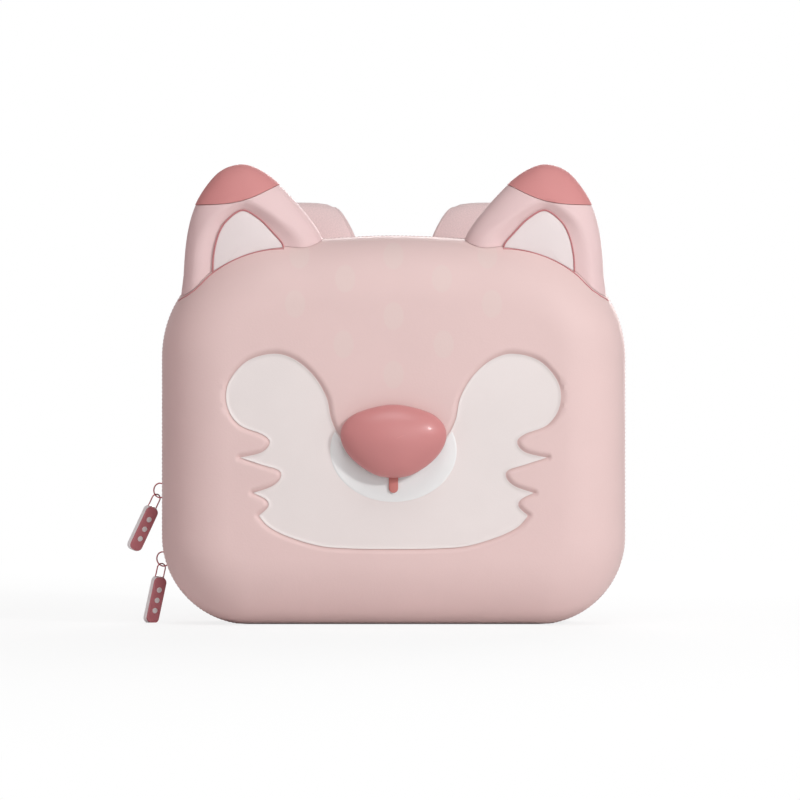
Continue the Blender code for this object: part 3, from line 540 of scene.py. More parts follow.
def mesh_object(name, bm, finish, sharp=40.0):
    """A finished mesh at the origin, smooth but for its real corners."""
    bmesh.ops.remove_doubles(bm, verts=bm.verts, dist=1e-7)
    bmesh.ops.recalc_face_normals(bm, faces=bm.faces)
    mesh = bpy.data.meshes.new(name)
    bm.to_mesh(mesh)
    bm.free()
    mesh.shade_smooth()
    mesh.set_sharp_from_angle(angle=math.radians(sharp))
    mesh.materials.append(FINISH[finish])
    made = bpy.data.objects.new(name, mesh)
    bpy.context.scene.collection.objects.link(made)
    return made


def place(piece, body, slot, *nodes):
    """Fixes a finished piece to its body, in place of the named nodes."""
    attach(piece, body)
    if nodes:
        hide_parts(*nodes)
    return piece


def ring_faces(bm, loops, uv=None, lengths=None, across=None):
    """Quads between neighbouring closed loops of vertices."""
    for r, (low, high) in enumerate(zip(loops, loops[1:])):
        count = len(low)
        for i in range(count):
            j = (i + 1) % count
            face = bm.faces.new((low[i], low[j], high[j], high[i]))
            if uv:
                u0, u1 = across[i], across[i + 1]
                v0, v1 = lengths[r], lengths[r + 1]
                for loop, value in zip(face.loops, ((u0, v0), (u1, v0), (u1, v1), (u0, v1))):
                    loop[uv].uv = value


def lofted(name, rings, finish, sharp=40.0):
    """A body through rings of points, capped at its ends."""
    bm = bmesh.new()
    loops = [[bm.verts.new(p) for p in ring] for ring in rings]
    ring_faces(bm, loops)
    bm.faces.new(loops[0])
    bm.faces.new(loops[-1])
    return mesh_object(name, bm, finish, sharp)


def swept(name, path, sections, finish, sharp=50.0):
    """A closed section carried along a path, with a woven layout along it.

    path holds (point, wide, thick) frames, sections one list of (a, b) offsets for each frame.
    """
    bm = bmesh.new()
    uv = bm.loops.layers.uv.new("weave")
    loops = []
    for (p, wide, thick), section in zip(path, sections):
        loops.append([bm.verts.new(p + wide * a + thick * b) for a, b in section])
    lengths = [0.0]
    for (p, _, _), (q, _, _) in zip(path, path[1:]):
        lengths.append(lengths[-1] + (q - p).length)
    across = [0.0]
    section = sections[len(sections) // 2]
    for i in range(len(section)):
        a, b = section[i], section[(i + 1) % len(section)]
        across.append(across[-1] + math.hypot(b[0] - a[0], b[1] - a[1]))
    ring_faces(bm, loops, uv=uv, lengths=lengths, across=across)
    bm.faces.new(loops[0])
    bm.faces.new(loops[-1])
    return mesh_object(name, bm, finish, sharp)


def catmull(points, steps, closed):
    """A Catmull-Rom curve through points of any dimension; True in a point's last place keeps a corner."""
    plain = [tuple(p[:-1]) if isinstance(p[-1], bool) else tuple(p) for p in points]
    corner = [isinstance(p[-1], bool) and p[-1] for p in points]
    curve = []
    count = len(plain)
    for i in range(count if closed else count - 1):
        p1, p2 = np.array(plain[i]), np.array(plain[(i + 1) % count])
        before = plain[i - 1] if (closed or i) else plain[i]
        after = plain[(i + 2) % count] if (closed or i + 2 < count) else plain[(i + 1) % count]
        p0 = p1 if corner[i] else np.array(before)
        p3 = p2 if corner[(i + 1) % count] else np.array(after)
        for k in range(steps):
            t = k / steps
            curve.append(
                0.5
                * (
                    2 * p1
                    + (p2 - p0) * t
                    + (2 * p0 - 5 * p1 + 4 * p2 - p3) * t * t
                    + (3 * p1 - p0 - 3 * p2 + p3) * t**3
                )
            )
    if not closed:
        curve.append(np.array(plain[-1]))
    return curve


def mirrored(half):
    """A right half from the top middle to the bottom middle, completed and made anticlockwise."""
    left = [(-p[0],) + tuple(p[1:]) for p in reversed(half) if abs(p[0]) > 1e-9]
    return list(reversed(list(half) + left))


def resampled(outline, spacing):
    """A closed outline with its points spread evenly."""
    points = np.array(list(outline) + [outline[0]])
    steps = np.hypot(*np.diff(points, axis=0).T)
    run = np.concatenate([[0], np.cumsum(steps)])
    count = max(12, int(round(run[-1] / spacing)))
    at = np.linspace(0, run[-1], count, endpoint=False)
    return np.stack([np.interp(at, run, points[:, 0]), np.interp(at, run, points[:, 1])], axis=1)


def inset(outline, distance):
    """An anticlockwise outline moved inwards along its corner bisectors."""
    points = np.array(outline)
    before = points - np.roll(points, 1, axis=0)
    after = np.roll(points, -1, axis=0) - points
    before /= np.linalg.norm(before, axis=1)[:, None]
    after /= np.linalg.norm(after, axis=1)[:, None]
    along = before + after
    along /= np.linalg.norm(along, axis=1)[:, None]
    reach = distance / np.maximum(np.sum(along * before, axis=1), 0.5)
    return points + np.stack([-along[:, 1] * reach, along[:, 0] * reach], axis=1)


def signed_distance(points, outline):
    """How far each point is inside an outline, negative outside it."""
    points = np.asarray(points, float)
    a = np.asarray(outline, float)
    b = np.roll(a, -1, axis=0)
    edge = b - a
    square = np.sum(edge * edge, axis=1)
    result = np.empty(len(points))
    for start in range(0, len(points), 4000):
        p = points[start : start + 4000, None, :]
        t = np.clip(np.sum((p - a) * edge, axis=2) / square, 0, 1)
        away = p - (a + t[..., None] * edge)
        near = np.sqrt(np.min(np.sum(away * away, axis=2), axis=1))
        crosses = (a[:, 1] > p[..., 1]) != (b[:, 1] > p[..., 1])
        with np.errstate(divide="ignore", invalid="ignore"):
            at = a[:, 0] + (p[..., 1] - a[:, 1]) / edge[:, 1] * edge[:, 0]
        inside = np.sum(crosses & (p[..., 0] < at), axis=1) % 2 == 1
        result[start : start + 4000] = np.where(inside, near, -near)
    return result


def smoothstep(value):
    value = np.clip(value, 0, 1)
    return value * value * (3 - 2 * value)


def flat_plate(name, outline, front_y, back_y, edge, finish, crown=0.0):
    """A plate with a rounded front edge, facing -Y, or +Y where front_y is behind back_y."""
    side = 1 if back_y > front_y else -1
    rings = [(0.0, back_y)]
    for i in range(4):
        a = math.radians(30 * i)
        rings.append((edge * (1 - math.cos(a)), front_y + side * edge * (1 - math.sin(a))))
    loops = []
    for move, y in rings:
        loops.append([(x, y, z) for x, z in inset(outline, move)])
    if crown:
        middle = np.mean(outline, axis=0)
        start = inset(outline, edge)
        for i in range(1, 6):
            t = i / 6
            y = front_y - side * crown * (1 - (1 - t) ** 2)
            loops.append([(x, y, z) for x, z in middle + (start - middle) * (1 - t)])
    return lofted(name, loops, finish)


def rounded_rectangle(width, height, radius, steps, centre=(0, 0)):
    points = []
    for cx, cz, start in ((1, 1, 0), (-1, 1, 90), (-1, -1, 180), (1, -1, 270)):
        for i in range(steps + 1):
            a = math.radians(start + 90 * i / steps)
            x = centre[0] + cx * (width / 2 - radius) + radius * math.cos(a)
            z = centre[1] + cz * (height / 2 - radius) + radius * math.sin(a)
            points.append((x, z))
    return points


def oval_section(half_width, half_height, count):
    turns = [2 * math.pi * k / count for k in range(count)]
    return [(half_width * math.cos(a), half_height * math.sin(a)) for a in turns]


def heading(path, i):
    """The direction of an open path at one of its points."""
    return (path[min(i + 1, len(path) - 1)] - path[max(i - 1, 0)]).normalized()


def wire(name, points, radius, finish, closed=False, sides=12):
    """A round rod through points."""
    path = [Vector(p) for p in points]
    count = len(path)
    frames = []
    side = None
    for i, p in enumerate(path):
        before = path[i - 1] if (i or closed) else p
        after = path[(i + 1) % count] if (i < count - 1 or closed) else p
        along = (after - before).normalized()
        if side is None:
            side = along.orthogonal().normalized()
        side = (side - along * side.dot(along)).normalized()
        frames.append((p, side, along.cross(side)))
    section = oval_section(radius, radius, sides)
    if not closed:
        return swept(name, frames, [section] * count, finish)
    bm = bmesh.new()
    loops = [[bm.verts.new(p + w * a + t * b) for a, b in section] for p, w, t in frames]
    ring_faces(bm, loops + [loops[0]])
    return mesh_object(name, bm, finish)


def row_tree():
    """Small rounded parts laid along a path: stitches, zip teeth and the like."""
    tree = bpy.data.node_groups.new("row of small parts", "GeometryNodeTree")
    tree.interface.new_socket("Path", in_out="INPUT", socket_type="NodeSocketGeometry")
    for label, value in (("Spacing", 0.0024), ("Length", 0.0016), ("Width", 0.0005), ("Height", 0.0004)):
        socket = tree.interface.new_socket(label, in_out="INPUT", socket_type="NodeSocketFloat")
        socket.default_value = value
    tree.interface.new_socket("Finish", in_out="INPUT", socket_type="NodeSocketMaterial")
    tree.interface.new_socket("Parts", in_out="OUTPUT", socket_type="NodeSocketGeometry")
    start = tree.nodes.new("NodeGroupInput").outputs
    curve = put(tree, "GeometryNodeMeshToCurve", {"Mesh": start["Path"]})
    spacing = {"Curve": curve.outputs[0], "Length": start["Spacing"]}
    spaced = put(tree, "GeometryNodeResampleCurve", spacing, mode="LENGTH")
    bead = put(tree, "GeometryNodeMeshUVSphere", {"Segments": 6, "Rings": 5, "Radius": 0.5})
    size = put(tree, "ShaderNodeCombineXYZ", {0: start["Length"], 1: start["Width"], 2: start["Height"]})
    tangent = put(tree, "GeometryNodeInputTangent")
    along = put(tree, "FunctionNodeAlignRotationToVector", {"Vector": tangent.outputs[0]}, axis="X")
    facing = put(tree, "GeometryNodeInputNamedAttribute", {"Name": "facing"}, data_type="FLOAT_VECTOR")
    turned = put(
        tree,
        "FunctionNodeAlignRotationToVector",
        {"Rotation": along.outputs[0], "Vector": facing.outputs[0]},
        axis="Z",
        pivot_axis="X",
    )
    laid = put(
        tree,
        "GeometryNodeInstanceOnPoints",
        {
            "Points": spaced.outputs[0],
            "Instance": bead.outputs["Mesh"],
            "Rotation": turned.outputs[0],
            "Scale": size.outputs[0],
        },
    )
    real = put(tree, "GeometryNodeRealizeInstances", {"Geometry": laid.outputs[0]})
    coloured = put(tree, "GeometryNodeSetMaterial", {"Geometry": real.outputs[0], "Material": start["Finish"]})
    end = tree.nodes.new("NodeGroupOutput")
    tree.links.new(coloured.outputs[0], end.inputs["Parts"])
    return tree


ROW_TREE = row_tree()


def row(name, chains, finish, spacing, length, width, height):
    """One mesh of small parts along chains of (point, facing), each chain open."""
    bm = bmesh.new()
    layer = bm.verts.layers.float_vector.new("facing")
    for chain in chains:
        before = None
        for p, facing in chain:
            vert = bm.verts.new(p)
            vert[layer] = facing
            if before:
                bm.edges.new((before, vert))
            before = vert
    mesh = bpy.data.meshes.new(name + "_path")
    bm.to_mesh(mesh)
    bm.free()
    guide = bpy.data.objects.new(name + "_path", mesh)
    bpy.context.scene.collection.objects.link(guide)
    step = guide.modifiers.new("row", "NODES")
    step.node_group = ROW_TREE
    sizes = {"Spacing": spacing, "Length": length, "Width": width, "Height": height, "Finish": FINISH[finish]}
    for item in ROW_TREE.interface.items_tree:
        if item.in_out == "INPUT" and item.name in sizes:
            step[item.identifier] = sizes[item.name]
    graph = bpy.context.evaluated_depsgraph_get()
    made = bpy.data.objects.new(name, bpy.data.meshes.new_from_object(guide.evaluated_get(graph)))
    made.data.shade_smooth()
    bpy.context.scene.collection.objects.link(made)
    bpy.data.objects.remove(guide)
    return made


# ---------------------------------------------------------------- shells


def top_arch(x, z):
    """How far the crown of the outline drops towards the ears."""
    across = smoothstep(abs(x) / ARCH_HALF_WIDTH).item()
    up = smoothstep((z - ARCH_FOOT_Z) / ARCH_RISE).item()
    return (TOP_DROP + (TOP_ARCH - TOP_DROP) * across) * up


def corner_sides():
    """The shell's outline as four runs of (x, z, nx, nz): bottom, right, top and left."""
    low, high = LOW_RADIUS, HIGH_RADIUS
    corners = {
        "bl": (-HALF_WIDTH + low, low, low),
        "br": (HALF_WIDTH - low, low, low),
        "tr": (HALF_WIDTH - high, HEIGHT - high, high),
        "tl": (-HALF_WIDTH + high, HEIGHT - high, high),
    }
    runs = (("bl", 225, 270, "br", 270, 315), ("br", 315, 360, "tr", 0, 45))
    runs += (("tr", 45, 90, "tl", 90, 135), ("tl", 135, 180, "bl", 180, 225))
    sides = []
    for first, a0, a1, second, b0, b1 in runs:
        side = []
        for name, start, stop in ((first, a0, a1), (second, b0, b1)):
            x, z, radius = corners[name]
            for i in range(CORNER_STEPS + 1):
                a = math.radians(start + (stop - start) * i / CORNER_STEPS)
                px, pz = x + radius * math.cos(a), z + radius * math.sin(a)
                side.append((px, pz - top_arch(px, pz), math.cos(a), math.sin(a)))
        if side[0][3] > 0.5 and side[-1][3] > 0.5:
            middle = CORNER_STEPS + 1
            before, after = np.array(side[middle - 1]), np.array(side[middle])
            crown = []
            for i in range(1, CROWN_STEPS):
                px, _, nx, nz = before + (after - before) * i / CROWN_STEPS
                crown.append((px, HEIGHT - top_arch(px, HEIGHT), nx, nz))
            side = side[:middle] + crown + side[middle:]
        sides.append(np.array(side))
    return sides


def spread(side, count, at_inset):
    """A run of the outline with count + 1 points, even where it is moved in by at_inset."""
    inner = side[:, :2] - side[:, 2:] * at_inset
    run = np.concatenate([[0], np.cumsum(np.hypot(*np.diff(inner, axis=0).T))])
    at = np.linspace(0, run[-1], count + 1)
    columns = [np.interp(at, run, side[:, k]) for k in range(4)]
    made = np.stack(columns, axis=1)
    made[:, 2:] /= np.linalg.norm(made[:, 2:], axis=1)[:, None]
    return made


def outline_ring(nu, nv, at_inset=0.02):
    """The whole outline, closed, starting at the lower left corner and running anticlockwise."""
    sides = corner_sides()
    runs = [spread(side, count, at_inset) for side, count in zip(sides, (nu, nv, nu, nv))]
    return np.concatenate([run[:-1] for run in runs]), runs


def moved_in(ring, amount):
    return ring[:, :2] - ring[:, 2:] * amount


def fillet_profile(rim_y, face_y, fillet, steps):
    """(inset, y) of the outer skin from the rim's bead to where the face is flat."""
    side = math.copysign(1, face_y - rim_y)
    bead = [(0.0008, 0.0), (0.0000, 0.0002), (-0.0005, 0.0007), (-0.0007, 0.0014), (-0.0007, 0.0042)]
    bead += [(-0.0005, 0.0048), (0.0001, 0.0051), (0.0004, 0.0055), (0.0001, 0.0060), (0.0, 0.0068)]
    profile = [(i, rim_y + side * y) for i, y in bead]
    start_y = face_y - side * fillet[1]
    for i in range(steps + 1):
        a = math.radians(90 * i / steps)
        profile.append((fillet[0] * (1 - math.cos(a)), start_y + side * fillet[1] * math.sin(a)))
    return profile


def inner_profile(rim_y, face_y, fillet, thickness, steps):
    side = math.copysign(1, face_y - rim_y)
    start_y = face_y - side * fillet[1]
    profile = [(thickness - 0.0008, rim_y), (thickness, rim_y + side * 0.0008)]
    for i in range(steps + 1):
        a = math.radians(90 * i / steps)
        move = thickness + (fillet[0] - thickness) * (1 - math.cos(a))
        profile.append((move, start_y + side * (fillet[1] - thickness) * math.sin(a)))
    return profile


FACE_HALF = (
    (0.0, 0.1010),
    (0.0200, 0.1045),
    (0.0318, 0.1139),
    (0.0372, 0.1240),
    (0.0400, 0.1370),
    (0.0475, 0.1500),
    (0.0590, 0.1600),
    (0.0720, 0.1636),
    (0.0880, 0.1590),
    (0.0990, 0.1460),
    (0.0998, 0.1320),
    (0.0925, 0.1208),
    (0.0790, 0.1152),
    (0.0742, 0.1105),
    (0.0790, 0.1045),
    (0.0924, 0.1012, True),
    (0.0790, 0.0968),
    (0.0688, 0.0935),
    (0.0678, 0.0890),
    (0.0730, 0.0840),
    (0.0845, 0.0800, True),
    (0.0765, 0.0760),
    (0.0752, 0.0717),
    (0.0809, 0.0664, True),
    (0.0745, 0.0594),
    (0.0621, 0.0533),
    (0.0433, 0.0479),
    (0.0221, 0.0464),
    (0.0, 0.0462),
)
FACE_OUTLINE = np.array(catmull(mirrored(FACE_HALF), 8, True))


def recess_depth(x, z):
    """How far the front skin is sunk at each place, with a soft shoulder round the cheeks."""
    points = np.stack([x, z], axis=1)
    near = (np.abs(x) < 0.106) & (z > 0.040) & (z < 0.170)
    depth = np.zeros(len(x))
    inside = signed_distance(points[near], FACE_OUTLINE)
    depth[near] = RECESS_DEPTH * smoothstep((inside + SLOPE_OUT) / (SLOPE_OUT + SLOPE_IN))
    return depth


def shell_mesh(name, rim_y, face_y, fillet, finish, nu, nv, sunk):
    """A moulded shell: outer skin with its rim bead, flat face as a fine grid, and inner wall."""
    ring, runs = outline_ring(nu, nv)
    skin = []
    for move, y in fillet_profile(rim_y, face_y, fillet, 26):
        xz = moved_in(ring, move)
        depth = recess_depth(xz[:, 0], xz[:, 1]) if sunk and abs(y - face_y) < 0.004 else np.zeros(len(xz))
        skin.append([(x, y + d, z) for (x, z), d in zip(xz, depth)])
    bm = bmesh.new()
    loops = [[bm.verts.new(p) for p in loop] for loop in skin]
    ring_faces(bm, loops)
    if sunk:
        edges = [moved_in(run, fillet[0]) for run in runs]
        bottom, right, top, left = edges[0], edges[1], edges[2][::-1], edges[3][::-1]
        u = np.linspace(0, 1, nu + 1)[:, None, None]
        v = np.linspace(0, 1, nv + 1)[None, :, None]
        grid = (1 - v) * bottom[:, None] + v * top[:, None] + (1 - u) * left[None] + u * right[None]
        grid -= (1 - u) * (1 - v) * bottom[0] + u * (1 - v) * bottom[-1]
        grid -= (1 - u) * v * top[0] + u * v * top[-1]
        flat = grid.reshape(-1, 2)
        depth = recess_depth(flat[:, 0], flat[:, 1]).reshape(nu + 1, nv + 1)
        last = loops[-1]
        verts = {}
        for i in range(nu + 1):
            verts[i, 0] = last[i]
            verts[i, nv] = last[(nu + nv + (nu - i)) % len(last)]
        for j in range(1, nv):
            verts[nu, j] = last[nu + j]
            verts[0, j] = last[(2 * nu + nv + (nv - j)) % len(last)]
        for i in range(1, nu):
            for j in range(1, nv):
                verts[i, j] = bm.verts.new((grid[i, j, 0], face_y + depth[i, j], grid[i, j, 1]))
        for i in range(nu):
            for j in range(nv):
                bm.faces.new((verts[i, j], verts[i + 1, j], verts[i + 1, j + 1], verts[i, j + 1]))
    else:
        bm.faces.new(loops[-1])
    inner = inner_profile(rim_y, face_y, fillet, WALL, 8)
    inner_loops = []
    for move, y in inner:
        inner_loops.append([bm.verts.new((x, y, z)) for x, z in moved_in(ring, move)])
    ring_faces(bm, [loops[0]] + inner_loops)
    bm.faces.new(inner_loops[-1])
    return mesh_object(name, bm, finish)


def rim_stitches(name, rim_y, side):
    """A row of stitches sunk into the bead along a rim."""
    ring, _ = outline_ring(90, 80)
    y = rim_y + side * 0.0028
    chain = []
    for x, z, nx, nz in np.concatenate([ring, ring[:1]]):
        chain.append(((x + nx * 0.0007, y, z + nz * 0.0007), (nx, 0, nz)))
    return row(name, [chain], "thread", *RIM_STITCH)


def lining_mesh(name, rim_y, face_y, fillet):
    """Cloth laid against the inside of a shell."""
    ring, _ = outline_ring(60, 50)
    side = math.copysign(1, face_y - rim_y)
    outer = WALL + GAP
    start_y = face_y - side * fillet[1]
    rings = []
    for thickness, order in ((outer + 0.0009, -1), (outer, 1)):
        skin = [(thickness, rim_y + side * 0.0073)]
        for i in range(13):
            a = math.radians(90 * i / 12)
            move = thickness + (fillet[0] - thickness) * (1 - math.cos(a))
            skin.append((move, start_y + side * (fillet[1] - thickness) * math.sin(a)))
        rings += skin[::order]
    loops = [[(x, y, z) for x, z in moved_in(ring, move)] for move, y in rings]
    return lofted(name, loops, "lining")


def zip_path():
    """The outline from one end of the hinge to the other by way of the top, as (x, z, nx, nz)."""
    ring, _ = outline_ring(96, 80, at_inset=0.0)
    half = HINGE_LENGTH / 2 + GAP
    hinged = [abs(x) < half + 0.001 and z < 0.001 for x, z, _, _ in ring]
    first = max(i for i, on_hinge in enumerate(hinged) if on_hinge) + 1
    order = [(first + i) % len(ring) for i in range(len(ring))]
    walk = [tuple(ring[i]) for i in order if not hinged[i]]
    path = [(half, 0.0, 0.0, -1.0)] + walk + [(-half, 0.0, 0.0, -1.0)]
    return path[::-1]


def zip_tape(name, rim_y):
    """Woven tape sewn inside a rim, thickened into a cord along its free edge."""
    side = math.copysign(1, rim_y - PARTING_Y)
    edge = PARTING_Y + side * 0.0006
    back = rim_y + side * 0.007
    top, under = TAPE_INSET, TAPE_INSET + TAPE_THICKNESS
    section = [
        (top, edge),
        (top - 0.0004, edge + side * 0.0003),
        (top - 0.0005, edge + side * 0.0013),
        (top - 0.0004, edge + side * 0.0021),
        (top, edge + side * 0.0026),
        (top, (edge + back) / 2),
        (top, back),
        (under, back),
        (under, (edge + back) / 2),
        (under, edge),
    ]
    frames = []
    for x, z, nx, nz in zip_path():
        frames.append((Vector((x, 0, z)), Vector((-nx, 0, -nz)), BACKWARD))
    return swept(name, frames, [section] * len(frames), "tape", sharp=60)


def zip_teeth(name, side, start):
    """Moulded teeth along a tape's free edge, meeting the other row at the parting."""
    y = PARTING_Y + side * 0.0015
    chain = []
    for x, z, nx, nz in zip_path():
        chain.append((Vector((x - nx * 0.0042, y, z - nz * 0.0042)), Vector((nx, 0, nz))))
    first = chain[0][0] + (chain[1][0] - chain[0][0]).normalized() * start
    chain[0] = (first, chain[0][1])
    return row(name, [chain], "teeth", *ZIP_TOOTH)


def hinge_tape(name, rim_y):
    """One half of the cloth hinge under the bag."""
    side = math.copysign(1, rim_y - PARTING_Y)
    fold = PARTING_Y + side * GAP / 2
    lip = rim_y - side * 0.0006
    back = rim_y + side * 0.007
    levels = [(fold, HINGE_Z), (lip - side * 0.0040, HINGE_Z), (lip - side * 0.0020, HINGE_Z + 0.0004)]
    levels += [(lip, TAPE_INSET), (back, TAPE_INSET)]
    section = [(z, y) for y, z in levels] + [(z + TAPE_THICKNESS, y) for y, z in reversed(levels)]
    half = HINGE_LENGTH / 2 - GAP
    frames = []
    for i in range(51):
        frames.append((Vector((-half + 2 * half * i / 50, 0, 0)), UP, BACKWARD))
    return swept(name, frames, [section] * len(frames), "tape", sharp=60)


def make_shells():
    front = shell_mesh("front_shell_skin", FRONT_RIM_Y, FACE_Y, FRONT_FILLET, "shell", 250, 194, True)
    place(front, "lid", "shell_pink", "front_shell")
    rear = shell_mesh("rear_shell_skin", REAR_RIM_Y, BACK_Y, REAR_FILLET, "rear", 120, 100, False)
    place(rear, "pack_body", "shell_pink", "rear_shell")
    halves = (
        ("front", "lid", FRONT_RIM_Y, FACE_Y, FRONT_FILLET, -1, 0.0),
        ("rear", "pack_body", REAR_RIM_Y, BACK_Y, REAR_FILLET, 1, ZIP_TOOTH[0] / 2),
    )
    for half, body, rim_y, face_y, fillet, side, start in halves:
        place(rim_stitches(f"{half}_rim_stitches", rim_y, side), body, "shell_pink")
        lining = lining_mesh(f"{half}_lining_cloth", rim_y, face_y, fillet)
        place(lining, body, "lining_pink", f"{half}_lining")
        place(zip_tape(f"{half}_zip_tape", rim_y), body, "tape_pink", f"{half}_zip_chain")
        place(zip_teeth(f"{half}_zip_teeth", side, start), body, "tape_pink")
        place(hinge_tape(f"{half}_hinge_cloth", rim_y), body, "tape_pink", f"{half}_hinge_tape")
    for node in ("left_zip_stop", "right_zip_stop"):
        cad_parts[node].data.materials.clear()
        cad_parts[node].data.materials.append(FINISH["metal"])


# ---------------------------------------------------------------- face


def inlay(name, outline, front_y, thickness, lip, finish, edge_rise=0.0):
    """A thin panel of any outline, triangulated, with its edge rolled over."""
    rim = inset(resampled(outline, 0.0016), 0.0001)
    points = [tuple(p) for p in rim]
    count = len(points)
    edges = [(i, (i + 1) % count) for i in range(count)]
    extra = []
    for step in (0.0004, 0.0009, 0.0016, 0.0026):
        moved = inset(rim, step)
        keep = signed_distance(moved, rim) > step * 0.85
        extra += [tuple(p) for p in moved[keep]]
    low, high = rim.min(0), rim.max(0)
    xs, zs = np.arange(low[0], high[0], 0.005), np.arange(low[1], high[1], 0.005)
    grid = np.array([(x, z) for x in xs for z in zs])
    grid = grid[signed_distance(grid, rim) > 0.004]
    extra += [tuple(p) for p in grid]
    flat, _, faces, _, _, _ = delaunay_2d_cdt([Vector(p) for p in points + extra], edges, [], 1, 1e-6)
    flat = np.array([tuple(p) for p in flat])
    inside = np.maximum(signed_distance(flat, rim), 0)
    top = front_y - edge_rise * (1 - smoothstep(inside / 0.0016))
    top += lip * (1 - smoothstep(inside / 0.0007)) ** 2
    bm = bmesh.new()
    front = [bm.verts.new((x, y, z)) for (x, z), y in zip(flat, top)]
    back = [bm.verts.new((x, front_y + thickness, z)) for x, z in flat]
    for face in faces:
        bm.faces.new([front[i] for i in face])
        bm.faces.new([back[i] for i in reversed(face)])
    border = [e for e in bm.edges if len(e.link_faces) == 1]
    match = {front[i]: back[i] for i in range(len(flat))}
    for e in border:
        a, b = e.verts
        if a in match and b in match:
            bm.faces.new((a, b, match[b], match[a]))
    return mesh_object(name, bm, finish, sharp=55)


def muzzle_outline():
    """An ellipse under the nose, cut off by the bridge above it."""
    fitted = inset(FACE_OUTLINE, 0.0005)
    angles = np.linspace(0, 2 * math.pi, 240, endpoint=False) + math.pi / 2
    half_width, half_height = MUZZLE_HALF
    ellipse = np.stack([half_width * np.cos(angles), MUZZLE_CENTRE_Z + half_height * np.sin(angles)], axis=1)
    arc = ellipse[signed_distance(ellipse, fitted) > 0.0002]
    bridge = fitted[(signed_distance(fitted, ellipse) > 0.0002) & (fitted[:, 1] > 0.095)]
    bridge = bridge[np.argsort(-bridge[:, 0])]
    return np.concatenate([arc, bridge])


NOSE_HALF = (
    (0.0, 0.1330),
    (0.0200, 0.1288),
    (0.0292, 0.1222),
    (0.0318, 0.1140),
    (0.0284, 0.1048),
    (0.0204, 0.0965),
    (0.0100, 0.0905),
    (0.0, 0.0891),
)


def make_nose():
    outline = np.array(catmull(mirrored(NOSE_HALF), 9, True))
    middle = np.array((0.0, NOSE_CENTRE_Z))
    back = FACE_Y - GAP
    rings = [(0.93, back), (0.965, back - 0.0005), (0.985, back - 0.0015), (0.997, back - 0.0026)]
    for i in range(25):
        a = math.radians(90 * i / 25)
        rings.append((math.cos(a), back - NOSE_EDGE - (NOSE_HEIGHT - NOSE_EDGE) * math.sin(a)))
    loops = []
    for share, y in rings:
        loops.append([(x, y, z) for x, z in middle + (outline - middle) * share])
    nose = lofted("nose_dome", loops, "nose", sharp=80)
    place(nose, "lid", "nose_rose", "nose")


def make_face():
    panel = inlay("cheek_panel", FACE_OUTLINE, PANEL_FRONT, 0.0007, 0.0, "panel", edge_rise=0.0006)
    place(panel, "lid", "cream", "face_panel")
    muzzle = inlay("muzzle_inlay", muzzle_outline(), MUZZLE_FRONT, 0.0004, 0.0002, "muzzle")
    place(muzzle, "lid", "white", "muzzle_patch")
    bar = [(MOUTH_RADIUS, MOUTH_TOP), (-MOUTH_RADIUS, MOUTH_TOP)]
    for i in range(25):
        a = math.pi + math.pi * i / 24
        bar.append((MOUTH_RADIUS * math.cos(a), MOUTH_FOOT + MOUTH_RADIUS + MOUTH_RADIUS * math.sin(a)))
    mouth = flat_plate("mouth_inlay", bar, -0.0770, -0.0760, 0.0006, "mouth")
    place(mouth, "lid", "rose", "mouth_bar")
    make_nose()


# ---------------------------------------------------------------- ears

EAR_POINTS = (
    (-0.0930, 0.2794),
    (-0.1075, 0.2738),
    (-0.1190, 0.2585),
    (-0.1255, 0.2390),
    (-0.1282, 0.2133),
    (-0.1275, 0.1880),
    (-0.1000, 0.1800),
    (-0.0600, 0.2050),
    (-0.0440, 0.2230),
    (-0.0435, 0.2340),
    (-0.0545, 0.2505),
    (-0.0690, 0.2672),
    (-0.0810, 0.2762),
)
EAR_LINING_POINTS = (
    (-0.0912, 0.2505),
    (-0.1010, 0.2440),
    (-0.1062, 0.2350),
    (-0.1090, 0.2224),
    (-0.1094, 0.2080, True),
    (-0.0657, 0.2220, True),
    (-0.0664, 0.2295),
    (-0.0724, 0.2369),
    (-0.0809, 0.2454),
)
TIP_CURVE = (
    (-0.1300, 0.2539),
    (-0.1100, 0.2536),
    (-0.0970, 0.2546),
    (-0.0860, 0.2575),
    (-0.0750, 0.2627),
    (-0.0640, 0.2690),
    (-0.0500, 0.2770),
)


def cut(piece, guide, operation):
    """A solid cut by a guide solid, with the result kept as a plain mesh."""
    step = piece.modifiers.new("cut", "BOOLEAN")
    step.operation = operation
    step.solver = "EXACT"
    step.object = guide
    graph = bpy.context.evaluated_depsgraph_get()
    mesh = bpy.data.meshes.new_from_object(piece.evaluated_get(graph))
    piece.modifiers.clear()
    piece.data = mesh
    bpy.data.objects.remove(guide)
    mesh.set_sharp_from_angle(angle=math.radians(40))
    return piece


def shell_space(margin):
    """The space of the front shell grown by a margin, carried back past its rim."""
    ring, _ = outline_ring(60, 50)
    rings = []
    start_y = FACE_Y + FRONT_FILLET[1]
    skin = [(-margin, 0.02)]
    for i in range(25):
        a = math.radians(90 * i / 24)
        move = -margin + (FRONT_FILLET[0] + margin) * (1 - math.cos(a))
        skin.append((move, start_y - (FRONT_FILLET[1] + margin) * math.sin(a)))
    for move, y in skin:
        rings.append([(x, y, z) for x, z in moved_in(ring, move)])
    return lofted("shell_space", rings, "shell")


